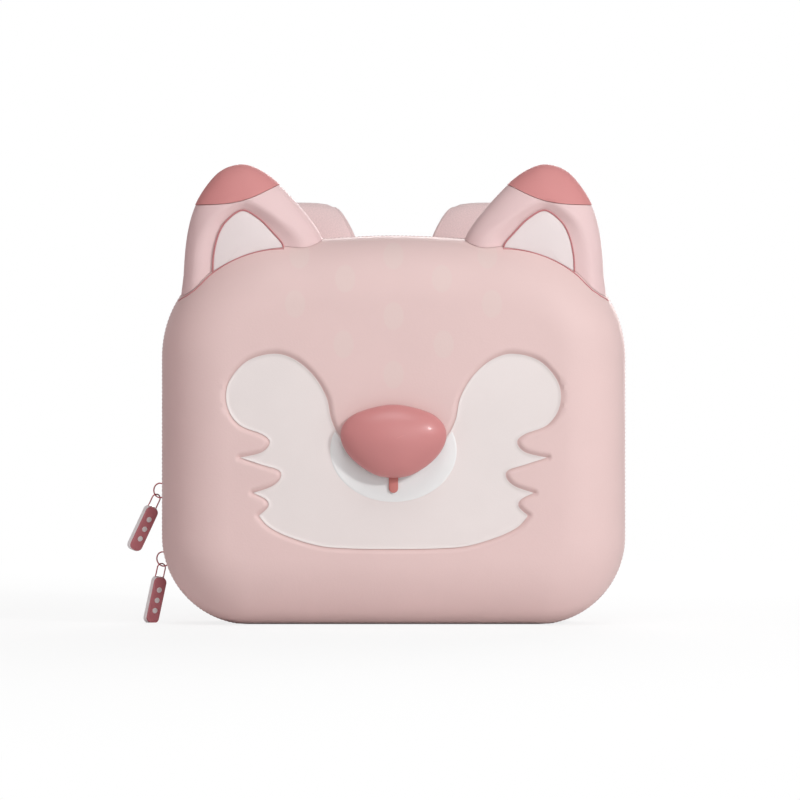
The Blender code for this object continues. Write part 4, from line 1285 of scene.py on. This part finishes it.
def ear_solid(name, finish, side, swell):
    """A stuffed ear: full in the middle, rolled round its edge, and sunk where the lining lies."""
    outline = np.array(catmull(EAR_POINTS, 10, True))
    start, length, amount = EAR_SLIMMED
    outline[:, 0] += amount * smoothstep((start - outline[:, 0]) / length)
    start, length, amount = EAR_LOWERED
    outline[:, 1] -= amount * smoothstep((outline[:, 1] - start) / length)
    lining = np.array(catmull(EAR_LINING_POINTS, 8, True))
    middle = np.array(EAR_MIDDLE)
    rings = []
    half = EAR_HALF + swell
    front_steps, back_steps = 34, 14
    shares = [(1 - (i / back_steps) ** 2 * 0.999, 1) for i in range(back_steps, 0, -1)]
    shares += [(1 - (i / front_steps) ** 1.5 * 0.999, -1) for i in range(0, front_steps + 1)]
    for share, facing in shares:
        xz = middle + (outline - middle) * (share + swell / 0.045 * share)
        depth = (1 - share**3.2) ** (1 / 2.1)
        y = np.full(len(xz), EAR_Y + facing * half * depth)
        if facing < 0:
            inside = signed_distance(xz, lining)
            reach = EAR_SLOPE[0] + EAR_SLOPE[1] * smoothstep((0.256 - xz[:, 1]) / 0.036)
            sunk = smoothstep((inside + reach) / (reach + EAR_LIP))
            y = y + (np.maximum(EAR_FLOOR_Y, y) - y) * sunk
        rings.append([(-side * x, yy, z) for (x, z), yy in zip(xz, y)])
    return lofted(name, rings, finish)


def tip_region(side, shift):
    """Everything above the curve where an ear's tip changes colour."""
    curve = [(x, z + shift) for x, z in catmull(TIP_CURVE, 6, False)]
    outline = curve + [(-0.0500, 0.3000), (-0.1300, 0.3000)]
    loops = []
    for y in (-0.080, -0.012):
        loops.append([(-side * x, y, z) for x, z in outline])
    return lofted("tip_region", loops, "tip")


def make_ear(label, side):
    ear = ear_solid(f"{label}_ear_cushion", "ear", side, 0.0)
    cut(ear, tip_region(side, -GAP), "DIFFERENCE")
    cut(ear, shell_space(GAP), "DIFFERENCE")
    place(ear, "lid", "ear_pink", f"{label}_ear")
    tip = ear_solid(f"{label}_ear_tip_cushion", "tip", side, 0.0004)
    cut(tip, tip_region(side, 0.0), "INTERSECT")
    place(tip, "lid", "rose", f"{label}_ear_tip")

    def placed(outline):
        flat = [(-side * x, z) for x, z in outline]
        return flat[::-1] if side > 0 else flat

    lining_outline = placed(inset(np.array(catmull(EAR_LINING_POINTS, 8, True)), 0.0008))
    back = EAR_FLOOR_Y - GAP
    lining = flat_plate(
        f"{label}_ear_lining_cloth", lining_outline, back - 0.0009, back, 0.0005, "ear_lining", crown=0.0012
    )
    cut(lining, shell_space(GAP), "DIFFERENCE")
    place(lining, "lid", "cream", f"{label}_ear_lining")
    cord_line = placed(inset(np.array(catmull(EAR_LINING_POINTS, 8, True)), 0.0004))
    cord_line = [(x, back - 0.0009, z) for x, z in cord_line]
    cord = wire(f"{label}_ear_piping", cord_line, EAR_PIPING_RADIUS, "ear_piping", closed=True, sides=10)
    cut(cord, shell_space(GAP), "DIFFERENCE")
    place(cord, "lid", "rose", f"{label}_ear_trim")
    seam = []
    for i in range(41):
        degrees = 151 - 61 * i / 40
        turn = math.radians(degrees)
        y = float(np.interp(degrees, SEAM_TURNS, SEAM_DEPTHS))
        rise = math.asin(min((FACE_Y + FRONT_FILLET[1] - y) / FRONT_FILLET[1], 1))
        radius = HIGH_RADIUS - FRONT_FILLET[0] * (1 - math.cos(rise))
        x = -HALF_WIDTH + HIGH_RADIUS + radius * math.cos(turn)
        edge_x = -HALF_WIDTH + HIGH_RADIUS * (1 + math.cos(turn))
        edge_z = HEIGHT - HIGH_RADIUS * (1 - math.sin(turn))
        z = HEIGHT - HIGH_RADIUS + radius * math.sin(turn) - top_arch(edge_x, edge_z)
        seam.append((-side * x, y, z))
    base = wire(f"{label}_ear_base_piping", seam, SEAM_RADIUS, "ear_piping", sides=10)
    place(base, "lid", "rose")


# ---------------------------------------------------------------- zip pulls


def bevelled_slab(name, frame_at, outline, low, high, edge, finish):
    """A slab in its own frame with both faces' edges rounded: outline across, low to high in depth."""
    rings = []
    for i in range(5):
        a = math.radians(90 * i / 4)
        rings.append((edge * (1 - math.sin(a)), low + edge * (1 - math.cos(a))))
    for i in range(4, -1, -1):
        a = math.radians(90 * i / 4)
        rings.append((edge * (1 - math.sin(a)), high - edge * (1 - math.cos(a))))
    loops = []
    for move, depth in rings:
        loops.append([frame_at(x, depth, z) for x, z in inset(outline, move)])
    return lofted(name, loops, finish)


def make_pull(name, label, foot, normal, tilt):
    """Slider, ring, and the wire loop with its tag, each group on a body of its own."""
    along = Vector((-normal.z, 0, normal.x))
    if along.z < 0:
        along = -along
    plate_in = TEETH_TOP - SLIDER_GAP
    plate_out = plate_in - PLATE_THICKNESS
    under_out = TAPE_INSET + TAPE_THICKNESS + SLIDER_GAP

    def at(x, depth, z):
        return foot + normal * -depth + BACKWARD * x + along * z

    outline = [(0.0028, -0.0055), (0.0034, -0.0020), (0.0042, 0.0010), (0.0043, 0.0040), (0.0036, 0.0056)]
    outline += [(0.0012, 0.0057), (0.0, 0.0045)]
    shape = outline + [(-x, z) for x, z in reversed(outline[:-1])]
    shape = [tuple(p) for p in catmull(shape, 4, True)]
    top = bevelled_slab(f"{name}_top", at, shape, plate_out, plate_in, 0.00035, "metal")
    place(top, label + "_slider", "metal_rose", name)
    small = [(x * 0.8, z * 0.8) for x, z in shape]
    under_in = under_out + PLATE_THICKNESS
    under = bevelled_slab(f"{name}_under", at, small, under_out, under_in, 0.0003, "metal")
    place(under, label + "_slider", "metal_rose")
    thin = rounded_rectangle(0.0003, 0.0038, 0.00012, 3)
    post = bevelled_slab(f"{name}_post", at, thin, plate_in - 0.0002, under_out + 0.0002, 0.00005, "metal")
    place(post, label + "_slider", "metal_rose")
    bridge = [at(0.0019, plate_out + 0.0003, 0)]
    for i in range(13):
        a = math.pi * i / 12
        bridge.append(at(0.0019 * math.cos(a), plate_out - 0.0006 - 0.0013 * math.sin(a) ** 0.7, 0))
    bridge.append(at(-0.0019, plate_out + 0.0003, 0))
    frames = []
    for i, p in enumerate(bridge):
        frames.append((p, along, heading(bridge, i).cross(along)))
    oval = oval_section(0.0011, 0.00048, 14)
    arch = swept(f"{name}_bridge", frames, [oval] * len(frames), "metal")
    place(arch, label + "_slider", "metal_rose")

    eye = foot - normal * (plate_out - 0.0008)
    outward = normal * math.cos(RING_LEAN) + BACKWARD * math.sin(RING_LEAN)
    centre = eye + outward * RING_RADIUS
    loop = []
    for i in range(48):
        a = 2 * math.pi * i / 48
        loop.append(centre + (outward * math.cos(a) + along * math.sin(a)) * RING_RADIUS)
    ring = wire(f"{name}_split_ring", loop, RING_WIRE, "metal", closed=True)
    place(ring, label + "_ring", "metal_rose", f"{name}_ring")

    joint = centre + (outward * math.cos(RING_HOLD) - along * math.sin(RING_HOLD)) * RING_RADIUS
    down = Vector((-math.sin(tilt), 0, -math.cos(tilt)))
    sideways = Vector((math.cos(tilt), 0, -math.sin(tilt)))
    wide = sideways * math.cos(TAG_TURN) + BACKWARD * math.sin(TAG_TURN)
    facing = wide.cross(down)
    if facing.y > 0:
        facing = -facing
    apex = joint - down * WIRE_ROOM * 1.4
    leg_end = apex + down * BAIL_LEG
    points = [leg_end + down * 0.0012 - wide * BAIL_HALF]
    for i in range(17):
        a = math.pi * i / 16
        drop = BAIL_HALF - BAIL_HALF * math.sin(a)
        points.append(apex + down * drop - wide * BAIL_HALF * math.cos(a))
    points.append(leg_end + down * 0.0012 + wide * BAIL_HALF)
    bent = wire(f"{name}_bail", points, BAIL_WIRE, "metal")
    place(bent, label + "_tag", "metal_rose", f"{name}_wire")

    head = leg_end + down * GAP
    width, length = TAG_SIZE

    def on_tag(x, depth, z):
        return head + wide * x + facing * -depth + down * (length / 2 - z)

    body = rounded_rectangle(width, length, 0.0034, 8)
    slab = bevelled_slab(f"{name}_tag_body", on_tag, body, -0.0018, 0.0018, 0.0009, "tag_body")
    place(slab, label + "_tag", "clear_white", f"{name}_tag")
    face = rounded_rectangle(width * 0.93, length * 0.955, 0.0031, 8)
    layer = bevelled_slab(f"{name}_tag_layer", on_tag, face, -0.0032, -0.0016, 0.0004, "tag_face")
    place(layer, label + "_tag", "tag_rose", f"{name}_tag_face")
    for i, z in enumerate((0.0064, 0.0, -0.0064)):
        spot = [(across, z + up) for across, up in oval_section(0.0017, 0.0017, 28)]
        dot = bevelled_slab(f"{name}_tag_dot_{i}", on_tag, spot, -0.00345, -0.0030, 0.0002, "tag_dot")
        place(dot, label + "_tag", "clear_white")


# ---------------------------------------------------------------- back


def strap_frames(points, steps):
    path = [Vector(p) for p in catmull(points, steps, False)]
    frames = []
    for i, p in enumerate(path):
        along = heading(path, i)
        frames.append((p, RIGHTWARD, RIGHTWARD.cross(along).normalized()))
    return frames


def padded_section(width, thickness, edge, points=9):
    """Half-round edges and gently crowned faces, sewn thin along both sides."""
    section = []
    for sign in (1, -1):
        for i in range(points + 1):
            t = -1 + 2 * i / points
            a = sign * -t * width / 2
            lift = edge + (thickness / 2 - edge) * (1 - abs(t) ** 3.0) ** 0.6
            section.append((a, sign * lift))
    return section


def offset_line(frames, across, out):
    """A chain of (point, facing) on a strap's face."""
    chain = []
    for p, wide, thick in frames:
        chain.append((p + wide * across + thick * out, thick * (1 if out > 0 else -1)))
    return chain


def make_strap(label, side):
    half = STRAP_THICKNESS / 2
    back = 0.0481
    top = 0.2545
    end = ADJUSTER[2] + ADJUSTER_SIZE[2] / 2 + GAP
    route = [
        (0.047, back, 0.189),
        (0.0475, back, 0.210),
        (0.0490, back + 0.002, top - 0.020),
        (0.0610, back + 0.013, top),
        (0.0680, back + 0.025, top - 0.016),
        (0.0690, back + 0.029, top - 0.050),
        (0.0720, back + 0.028, top - 0.092),
        (0.0810, back + 0.023, top - 0.130),
        (0.0885, ADJUSTER[1] + 0.001, end + 0.016),
        (ADJUSTER[0], ADJUSTER[1], end + half),
        (ADJUSTER[0], ADJUSTER[1], end),
    ]
    frames = strap_frames([(side * x, y, z) for x, y, z in route], 8)
    count = len(frames)
    sections = []
    for i in range(count):
        t = i / (count - 1)
        narrow = 1 - 0.52 * smoothstep((t - 0.62) / 0.36).item()
        thin = 1 - 0.55 * smoothstep((t - 0.86) / 0.14).item()
        sections.append(padded_section((STRAP_WIDTH - 0.002) * narrow, STRAP_THICKNESS * thin, 0.0010))
    strap = swept(f"{label}_strap_cushion", frames, sections, "strap")
    strap.data.materials.append(FINISH["strap_mesh"])
    around = len(sections[0])
    for face in list(strap.data.polygons)[:-2]:
        if around // 2 <= face.index % around < around - 1:
            face.material_index = 1
    place(strap, "pack_body", "mesh_pink", f"{label}_shoulder_strap")
    for tag, sign in (("inner", -1), ("outer", 1)):
        binding_frames = []
        for i, (p, wide, thick) in enumerate(frames):
            reach = max(abs(a) for a, _ in sections[i])
            binding_frames.append((p + wide * sign * (reach - 0.0012), wide, thick))
        oval = oval_section(0.0022, 0.0017, 16)
        binding = swept(f"{label}_strap_{tag}_binding", binding_frames, [oval] * count, "binding")
        place(binding, "pack_body", "mesh_pink")
    stitch_lines = []
    for sign in (-1, 1):
        for out in (0.0023, -0.0023):
            chain = []
            for i, (p, wide, thick) in enumerate(frames[:-6]):
                reach = max(abs(a) for a, _ in sections[i])
                on_face = p + wide * sign * (reach - 0.0044) + thick * out * 1.02
                chain.append((on_face, thick * math.copysign(1, out)))
            stitch_lines.append(chain)
    stitches = row(f"{label}_strap_stitches", stitch_lines, "rose_thread", *STRAP_STITCH)
    place(stitches, "pack_body", "mesh_pink")
    make_adjuster(label, side)
    make_webbing(label, side)
    make_anchor(label, side)


def make_adjuster(label, side):
    """A moulded ladder lock: rounded frame with a bar across its middle."""
    x, y, z = side * ADJUSTER[0], ADJUSTER[1], ADJUSTER[2]
    width, depth, height = ADJUSTER_SIZE
    bar = 0.003
    outline = rounded_rectangle(width - bar, height - bar, 0.0022, 5, (x, z))
    path = [Vector((px, y, pz)) for px, pz in outline]
    section = rounded_rectangle(bar, depth, 0.0011, 3)
    bm = bmesh.new()
    loops = []
    count = len(path)
    for i, p in enumerate(path):
        along = (path[(i + 1) % count] - path[i - 1]).normalized()
        outward = Vector((along.z, 0, -along.x))
        loops.append([bm.verts.new(p + outward * a + BACKWARD * b) for a, b in section])
    ring_faces(bm, loops + [loops[0]])
    ring = mesh_object(f"{label}_adjuster_frame", bm, "buckle")
    place(ring, "pack_body", "tag_rose", f"{label}_adjuster")
    frames = []
    for i in range(9):
        frames.append((Vector((x - (width - bar) / 2 + (width - bar) * i / 8, y, z)), UP, BACKWARD))
    oval = rounded_rectangle(bar, depth, 0.0012, 3)
    middle = swept(f"{label}_adjuster_bar", frames, [oval] * 9, "buckle")
    place(middle, "pack_body", "tag_rose")


def flat_section(width, thickness, edge):
    half, up = width / 2, thickness / 2
    section = []
    for i in range(9):
        section.append((half - edge - (2 * half - 2 * edge) * i / 8, up))
    section += [(-half, up - edge * 0.6), (-half, -up + edge * 0.6)]
    for i in range(9):
        section.append((-half + edge + (2 * half - 2 * edge) * i / 8, -up))
    section += [(half, -up + edge * 0.6), (half, up - edge * 0.6)]
    return section


def make_webbing(label, side):
    x, y, z = side * ADJUSTER[0], ADJUSTER[1], ADJUSTER[2]
    run = ADJUSTER_SIZE[1] / 2 + GAP * 3 + WEBBING_THICKNESS / 2
    anchor_x = side * ANCHOR[0]
    low_y = BACK_Y + 0.0043
    foot = 0.022
    size = ADJUSTER_SIZE[2]
    points = [
        (anchor_x, low_y, ANCHOR[1] + 0.012),
        (side * 0.103, (low_y + y - run) / 2, (ANCHOR[1] + z) / 2),
        (x, y - run, z - size),
        (x, y - run, z - size / 2),
        (x, y - run, z),
    ]
    path = [np.array((anchor_x, low_y, foot))] + catmull(points, 7, False)[:-1]
    for i in range(15):
        a = math.pi * i / 14
        path.append(np.array((x, y - run * math.cos(a), z + run * math.sin(a) * 1.15)))
    tail = ((0.0, 0.0), (0.0004, 0.010), (0.001, 0.020), (0.002, 0.030), (0.003, 0.0385), (0.003, 0.040))
    path += [np.array((x + side * out, y + run, z - size / 2 - drop)) for out, drop in tail]
    points = [Vector(p) for p in path]
    frames = []
    for i, p in enumerate(points):
        along = heading(points, i)
        wide = (RIGHTWARD - along * RIGHTWARD.dot(along)).normalized()
        frames.append((p, wide, wide.cross(along)))
    section = flat_section(WEBBING_WIDTH, WEBBING_THICKNESS, 0.0004)
    web = swept(f"{label}_webbing_strip", frames, [section] * len(frames), "webbing")
    place(web, "pack_body", "tape_pink", f"{label}_strap_webbing")
    hem = []
    for across in (-0.0072, 0.0072):
        hem.append(offset_line(frames[-5:], across, 0.00072))
    p, wide, thick = frames[-3]
    hem.append([(p + wide * across + thick * 0.00072, thick) for across in (-0.008, 0, 0.008)])
    place(row(f"{label}_webbing_stitches", hem, "thread", *WEBBING_STITCH), "pack_body", "tape_pink")


def box_stitch(centre, width, height, y):
    """A sewn box with a cross in it, facing backwards."""
    x, z = centre
    w, h = width / 2, height / 2
    corners = [(x - w, z - h), (x + w, z - h), (x + w, z + h), (x - w, z + h), (x - w, z - h)]
    lines = [corners, [(x - w, z - h), (x + w, z + h)], [(x - w, z + h), (x + w, z - h)]]
    chains = []
    for line in lines:
        for (ax, az), (bx, bz) in zip(line, line[1:]):
            chains.append([(Vector((ax, y, az)), BACKWARD), (Vector((bx, y, bz)), BACKWARD)])
    return chains


def make_anchor(label, side):
    x, z = side * ANCHOR[0], ANCHOR[1]
    outline = rounded_rectangle(0.026, 0.024, 0.004, 6, (x, z))
    back = BACK_Y + GAP
    tab = flat_plate(f"{label}_anchor_patch", outline, back + 0.0030, back, 0.0009, "patch")
    place(tab, "pack_body", "rose", f"{label}_anchor_tab")
    chains = box_stitch((x, z + 0.001), 0.0215, 0.0195, back + 0.0031)[:4]
    stitches = row(f"{label}_anchor_stitches", chains, "thread", *WEBBING_STITCH)
    place(stitches, "pack_body", "rose")
    over = box_stitch((x, z + 0.001), 0.0150, 0.0130, BACK_Y + 0.00505)
    over = row(f"{label}_anchor_box_stitches", over, "thread", *WEBBING_STITCH)
    place(over, "pack_body", "rose")


def make_yoke():
    outline = rounded_rectangle(0.170, 0.024, 0.008, 8, (0, YOKE_Z))
    front = BACK_Y + GAP
    yoke = flat_plate("strap_yoke_patch", outline, front + YOKE_THICKNESS, front, 0.0012, "patch")
    place(yoke, "pack_body", "rose", "strap_yoke")
    sewn = [tuple(p) for p in inset(outline, 0.0024)]
    y = front + YOKE_THICKNESS
    chain = [((x, y, z), (0, 1, 0)) for x, z in sewn + sewn[:1]]
    place(row("yoke_stitches", [chain], "rose_thread", *PATCH_STITCH), "pack_body", "rose")


def make_handle():
    """A stuffed carrying loop, flat across the bag, with its two ends side by side."""
    y = BACK_Y + GAP + YOKE_THICKNESS + GAP + 0.003
    span, drop = 0.014, 0.038
    route = [(-span, 0.0), (-span, -0.4), (-span * 0.8, -0.85), (-span * 0.4, -1.0)]
    route += [(0.0, -1.03)] + [(-x, z) for x, z in reversed(route)]
    path = [Vector(p) for p in catmull([(x, y, YOKE_Z + z * drop) for x, z in route], 8, False)]
    frames = []
    for i, p in enumerate(path):
        along = heading(path, i)
        frames.append((p, Vector((along.z, 0, -along.x)), BACKWARD))
    oval = oval_section(0.0044, 0.0029, 20)
    loop = swept("carry_handle_loop", frames, [oval] * len(frames), "webbing")
    place(loop, "handle", "tape_pink", "carry_handle")
    seams = []
    for across in (-0.0030, 0.0030):
        out = 0.0029 * math.sqrt(1 - (0.0030 / 0.0044) ** 2)
        seams.append(offset_line(frames, across, out))
    place(row("handle_stitches", seams, "thread", *PATCH_STITCH), "handle", "tape_pink")


def swell(piece, cap):
    """Lets a cushion fill out as sewn cloth does, with its back held flat."""
    held = piece.vertex_groups.new(name="held")
    rest = np.array([v.co[:] for v in piece.data.vertices])
    back = rest[:, 1].min()
    held.add([i for i, co in enumerate(rest) if co[1] < back + 0.0012], 1.0, "REPLACE")
    cloth = piece.modifiers.new("cloth", "CLOTH")
    cloth.settings.use_pressure = True
    cloth.settings.uniform_pressure_force = 4.0
    cloth.settings.effector_weights.gravity = 0.0
    cloth.settings.vertex_group_mass = "held"
    cloth.settings.quality = 6
    cloth.point_cache.frame_start = 1
    cloth.point_cache.frame_end = CLOTH_FRAMES
    scene = bpy.context.scene
    for f in range(1, CLOTH_FRAMES + 1):
        scene.frame_set(f)
    graph = bpy.context.evaluated_depsgraph_get()
    filled = np.array([v.co[:] for v in piece.evaluated_get(graph).data.vertices])
    piece.modifiers.clear()
    scene.frame_set(1)
    move = filled - rest
    reach = np.linalg.norm(move, axis=1)
    share = np.where(reach > cap, cap / np.maximum(reach, 1e-9), 1.0)
    made = rest + move * share[:, None]
    made[:, 1] = np.maximum(made[:, 1], back)
    piece.data.vertices.foreach_set("co", made.ravel())
    piece.data.update()


def make_pad(node, size, centre, channels):
    """A back cushion: air mesh over foam, sewn down round its edge and along its channels."""
    back = BACK_Y + GAP
    outline = rounded_rectangle(size[0] - 0.002, size[1] - 0.002, 0.013, 8, centre)
    pad = flat_plate(f"{node}_cushion", outline, back + 0.0046, back, 0.0016, "pad_mesh")
    remesh = pad.modifiers.new("even", "REMESH")
    remesh.mode = "VOXEL"
    remesh.voxel_size = 0.0022
    graph = bpy.context.evaluated_depsgraph_get()
    mesh = bpy.data.meshes.new_from_object(pad.evaluated_get(graph))
    pad.modifiers.clear()
    pad.data = mesh
    mesh.materials.clear()
    mesh.materials.append(FINISH["pad_mesh"])
    swell(pad, 0.0022)
    co = np.array([v.co[:] for v in pad.data.vertices])
    front = co[:, 1] > back + 0.002
    for x in channels:
        groove = 0.0022 * np.exp(-(((co[:, 0] - x) / 0.0016) ** 2))
        co[:, 1] = np.where(front, np.maximum(co[:, 1] - groove, back + 0.002), co[:, 1])
    pad.data.vertices.foreach_set("co", co.ravel())
    pad.data.update()
    pad.data.shade_smooth()
    smooth = pad.modifiers.new("finish", "SUBSURF")
    smooth.levels = smooth.render_levels = 1
    place(pad, "pack_body", "mesh_pink", node)
    edge = rounded_rectangle(size[0] - 0.0012, size[1] - 0.0012, 0.0134, 10, centre)
    edge = [(x, back + 0.0012, z) for x, z in edge]
    cord = wire(f"{node}_piping", edge, 0.0011, "piping", closed=True, sides=10)
    place(cord, "pack_body", "rose")
    chains = []
    for x in channels:
        z0, z1 = centre[1] - size[1] / 2 + 0.006, centre[1] + size[1] / 2 - 0.006
        depth = back + 0.0030
        chains.append([(Vector((x, depth, z0)), BACKWARD), (Vector((x, depth, z1)), BACKWARD)])
    if chains:
        stitches = row(f"{node}_stitches", chains, "rose_thread", *PAD_STITCH)
        place(stitches, "pack_body", "rose")


# ---------------------------------------------------------------- pockets


def pocket_lift(u, v):
    """How far a pocket stands off the lining, across by u and up by v."""
    across = (u - 0.5) * 2
    full = 0.0016 * (1 - across**4) * math.sin(min(1, v * 1.15) * math.pi * 0.5) ** 0.7
    ripple = 0.0004 * math.sin(u * 23) * v**3 * (1 - across**6)
    return 0.0006 + full + ripple


def make_pocket(node, body, floor_y, side, finish, slot):
    """A cloth pocket, slightly full, sewn along its sides and foot and bound along its mouth."""
    low, width, height = 0.045, 0.190, 0.105
    columns, lines = 48, 28
    bm = bmesh.new()
    uv = bm.loops.layers.uv.new("weave")
    grid = {}
    for i in range(columns + 1):
        for j in range(lines + 1):
            u, v = i / columns, j / lines
            y = floor_y + side * pocket_lift(u, v)
            grid[i, j] = bm.verts.new(((u - 0.5) * 2 * width / 2, y, low + v * height))
    for i in range(columns):
        for j in range(lines):
            quad = ((i, j), (i + 1, j), (i + 1, j + 1), (i, j + 1))
            face = bm.faces.new([grid[k] for k in quad])
            for loop, (a, b) in zip(face.loops, quad):
                loop[uv].uv = (a / columns * width, b / lines * height)
    cloth = mesh_object(f"{node}_cloth", bm, finish)
    thick = cloth.modifiers.new("thickness", "SOLIDIFY")
    thick.thickness = 0.0007
    thick.offset = 0.0
    place(cloth, body, slot, node)
    frames = []
    for i in range(columns + 1):
        u = i / columns
        y = floor_y + side * pocket_lift(u, 1.0)
        frames.append((Vector(((u - 0.5) * 2 * width / 2, y, low + height - 0.0016)), UP, BACKWARD))
    oval = oval_section(0.0024, 0.0008, 14)
    binding = swept(f"{node}_bound_edge", frames, [oval] * len(frames), "rose_binding")
    place(binding, body, "rose", f"{node}_binding")
    chain = [(p + UP * -0.0010 + BACKWARD * side * 0.0008, BACKWARD * side) for p, _, _ in frames]
    place(row(f"{node}_stitches", [chain], "rose_thread", *POCKET_STITCH), body, "rose")


# ---------------------------------------------------------------- stage, lamps and camera


def lamp(name, location, target, size, power, colour=(1, 1, 1)):
    data = bpy.data.lights.new(name, "AREA")
    data.shape = "DISK"
    data.size = size
    data.energy = power
    data.color = colour
    made = bpy.data.objects.new(name, data)
    made.location = location
    made.rotation_euler = (Vector(target) - Vector(location)).to_track_quat("-Z", "Y").to_euler()
    bpy.context.scene.collection.objects.link(made)


def make_stage():
    bm = bmesh.new()
    bmesh.ops.create_circle(bm, cap_ends=True, radius=FLOOR_RADIUS, segments=128)
    floor_mesh = bpy.data.meshes.new("studio_floor")
    bm.to_mesh(floor_mesh)
    bm.free()
    floor = bpy.data.objects.new("studio_floor", floor_mesh)
    floor.location = (0, 0, -0.0002)
    bpy.context.scene.collection.objects.link(floor)
    made, tree, surface = blank_material("studio floor")
    surface.inputs["Base Color"].default_value = (FLOOR_WHITE, FLOOR_WHITE, FLOOR_WHITE, 1)
    surface.inputs["Roughness"].default_value = 0.9
    path = put(tree, "ShaderNodeLightPath")
    away = vector_calc(tree, "LENGTH", object_place(tree))
    near, far = GLOW_FADE
    fade = put(
        tree, "ShaderNodeMapRange", {"Value": away, "From Min": near, "From Max": far, "To Min": GLOW_NEAR}
    )
    seen = calc(tree, "MULTIPLY", path.outputs["Is Camera Ray"], fade.outputs[0])
    glow = put(tree, "ShaderNodeEmission", {"Color": (1, 1, 1, 1), "Strength": 1.0})
    blend = put(tree, "ShaderNodeMixShader", {0: seen, 1: surface.outputs[0], 2: glow.outputs[0]})
    tree.links.new(blend.outputs[0], tree.nodes["Material Output"].inputs["Surface"])
    floor_mesh.materials.append(made)

    world = bpy.data.worlds.new("studio")
    bpy.context.scene.world = world
    world.use_nodes = True
    tree = world.node_tree
    background = tree.nodes["Background"]
    background.inputs["Color"].default_value = (1, 1, 1, 1)
    path = put(tree, "ShaderNodeLightPath")
    direct = calc(tree, "MAXIMUM", path.outputs["Is Camera Ray"], path.outputs["Is Glossy Ray"])
    direct = calc(tree, "MAXIMUM", direct, path.outputs["Is Transmission Ray"])
    strength = put(tree, "ShaderNodeMapRange", {"Value": direct, "To Min": WORLD_STRENGTH, "To Max": 1.0})
    tree.links.new(strength.outputs[0], background.inputs["Strength"])

    lamp("key_lamp", (1.30, -1.50, 0.95), (0, 0, 0.12), 0.22, 17.5)
    lamp("front_lamp", (0.4, -1.9, 0.64), (0, 0, 0.10), 1.2, 5.8)
    lamp("side_lamp", (-2.0, -0.2, 0.35), (0, 0, 0.12), 1.0, 2.2, (1.0, 0.14, 0.20))
    lamp("top_lamp", (0.0, -1.0, 1.7), (0, 0, 0.12), 1.0, 10.0)
    lamp("back_lamp", (0.3, 1.8, 0.62), (0, 0, 0.12), 1.2, 26.0)


def make_camera():
    data = bpy.data.cameras.new("camera")
    data.lens = CAMERA_LENS
    data.sensor_width = 36
    made = bpy.data.objects.new("camera", data)
    made.location = CAMERA_PLACE
    made.rotation_euler = (math.radians(90), 0, 0)
    bpy.context.scene.collection.objects.link(made)
    bpy.context.scene.camera = made


# ---------------------------------------------------------------- assembly

make_camera()
make_shells()
make_face()
make_ear("left", -1)
make_ear("right", 1)
upper_foot = Vector((-HALF_WIDTH, PARTING_Y, UPPER_SLIDER_Z))
make_pull("upper_slider", "upper", upper_foot, -RIGHTWARD, math.radians(25))
corner_normal = Vector((-math.cos(LOWER_SLIDER_TURN), 0, -math.sin(LOWER_SLIDER_TURN)))
corner = Vector((-HALF_WIDTH + LOW_RADIUS, PARTING_Y, LOW_RADIUS))
make_pull("lower_slider", "lower", corner + corner_normal * LOW_RADIUS, corner_normal, math.radians(12))
make_strap("left", -1)
make_strap("right", 1)
make_pad("left_back_pad", (0.082, 0.070), (-0.050, 0.121), (-0.050,))
make_pad("right_back_pad", (0.082, 0.070), (0.050, 0.121), (0.050,))
make_pad("lumbar_pad", (0.150, 0.046), (0, 0.056), (-0.038, 0.0, 0.038))
make_yoke()
make_handle()
make_pocket("lid_mesh_pocket", "lid", FACE_Y + WALL + GAP + 0.0009, 1, "net", "mesh_pink")
make_pocket("sleeve_pocket", "pack_body", BACK_Y - WALL - GAP - 0.0009, -1, "sleeve", "lining_pink")
make_stage()
bpy.context.scene.view_settings.view_transform = "Standard"
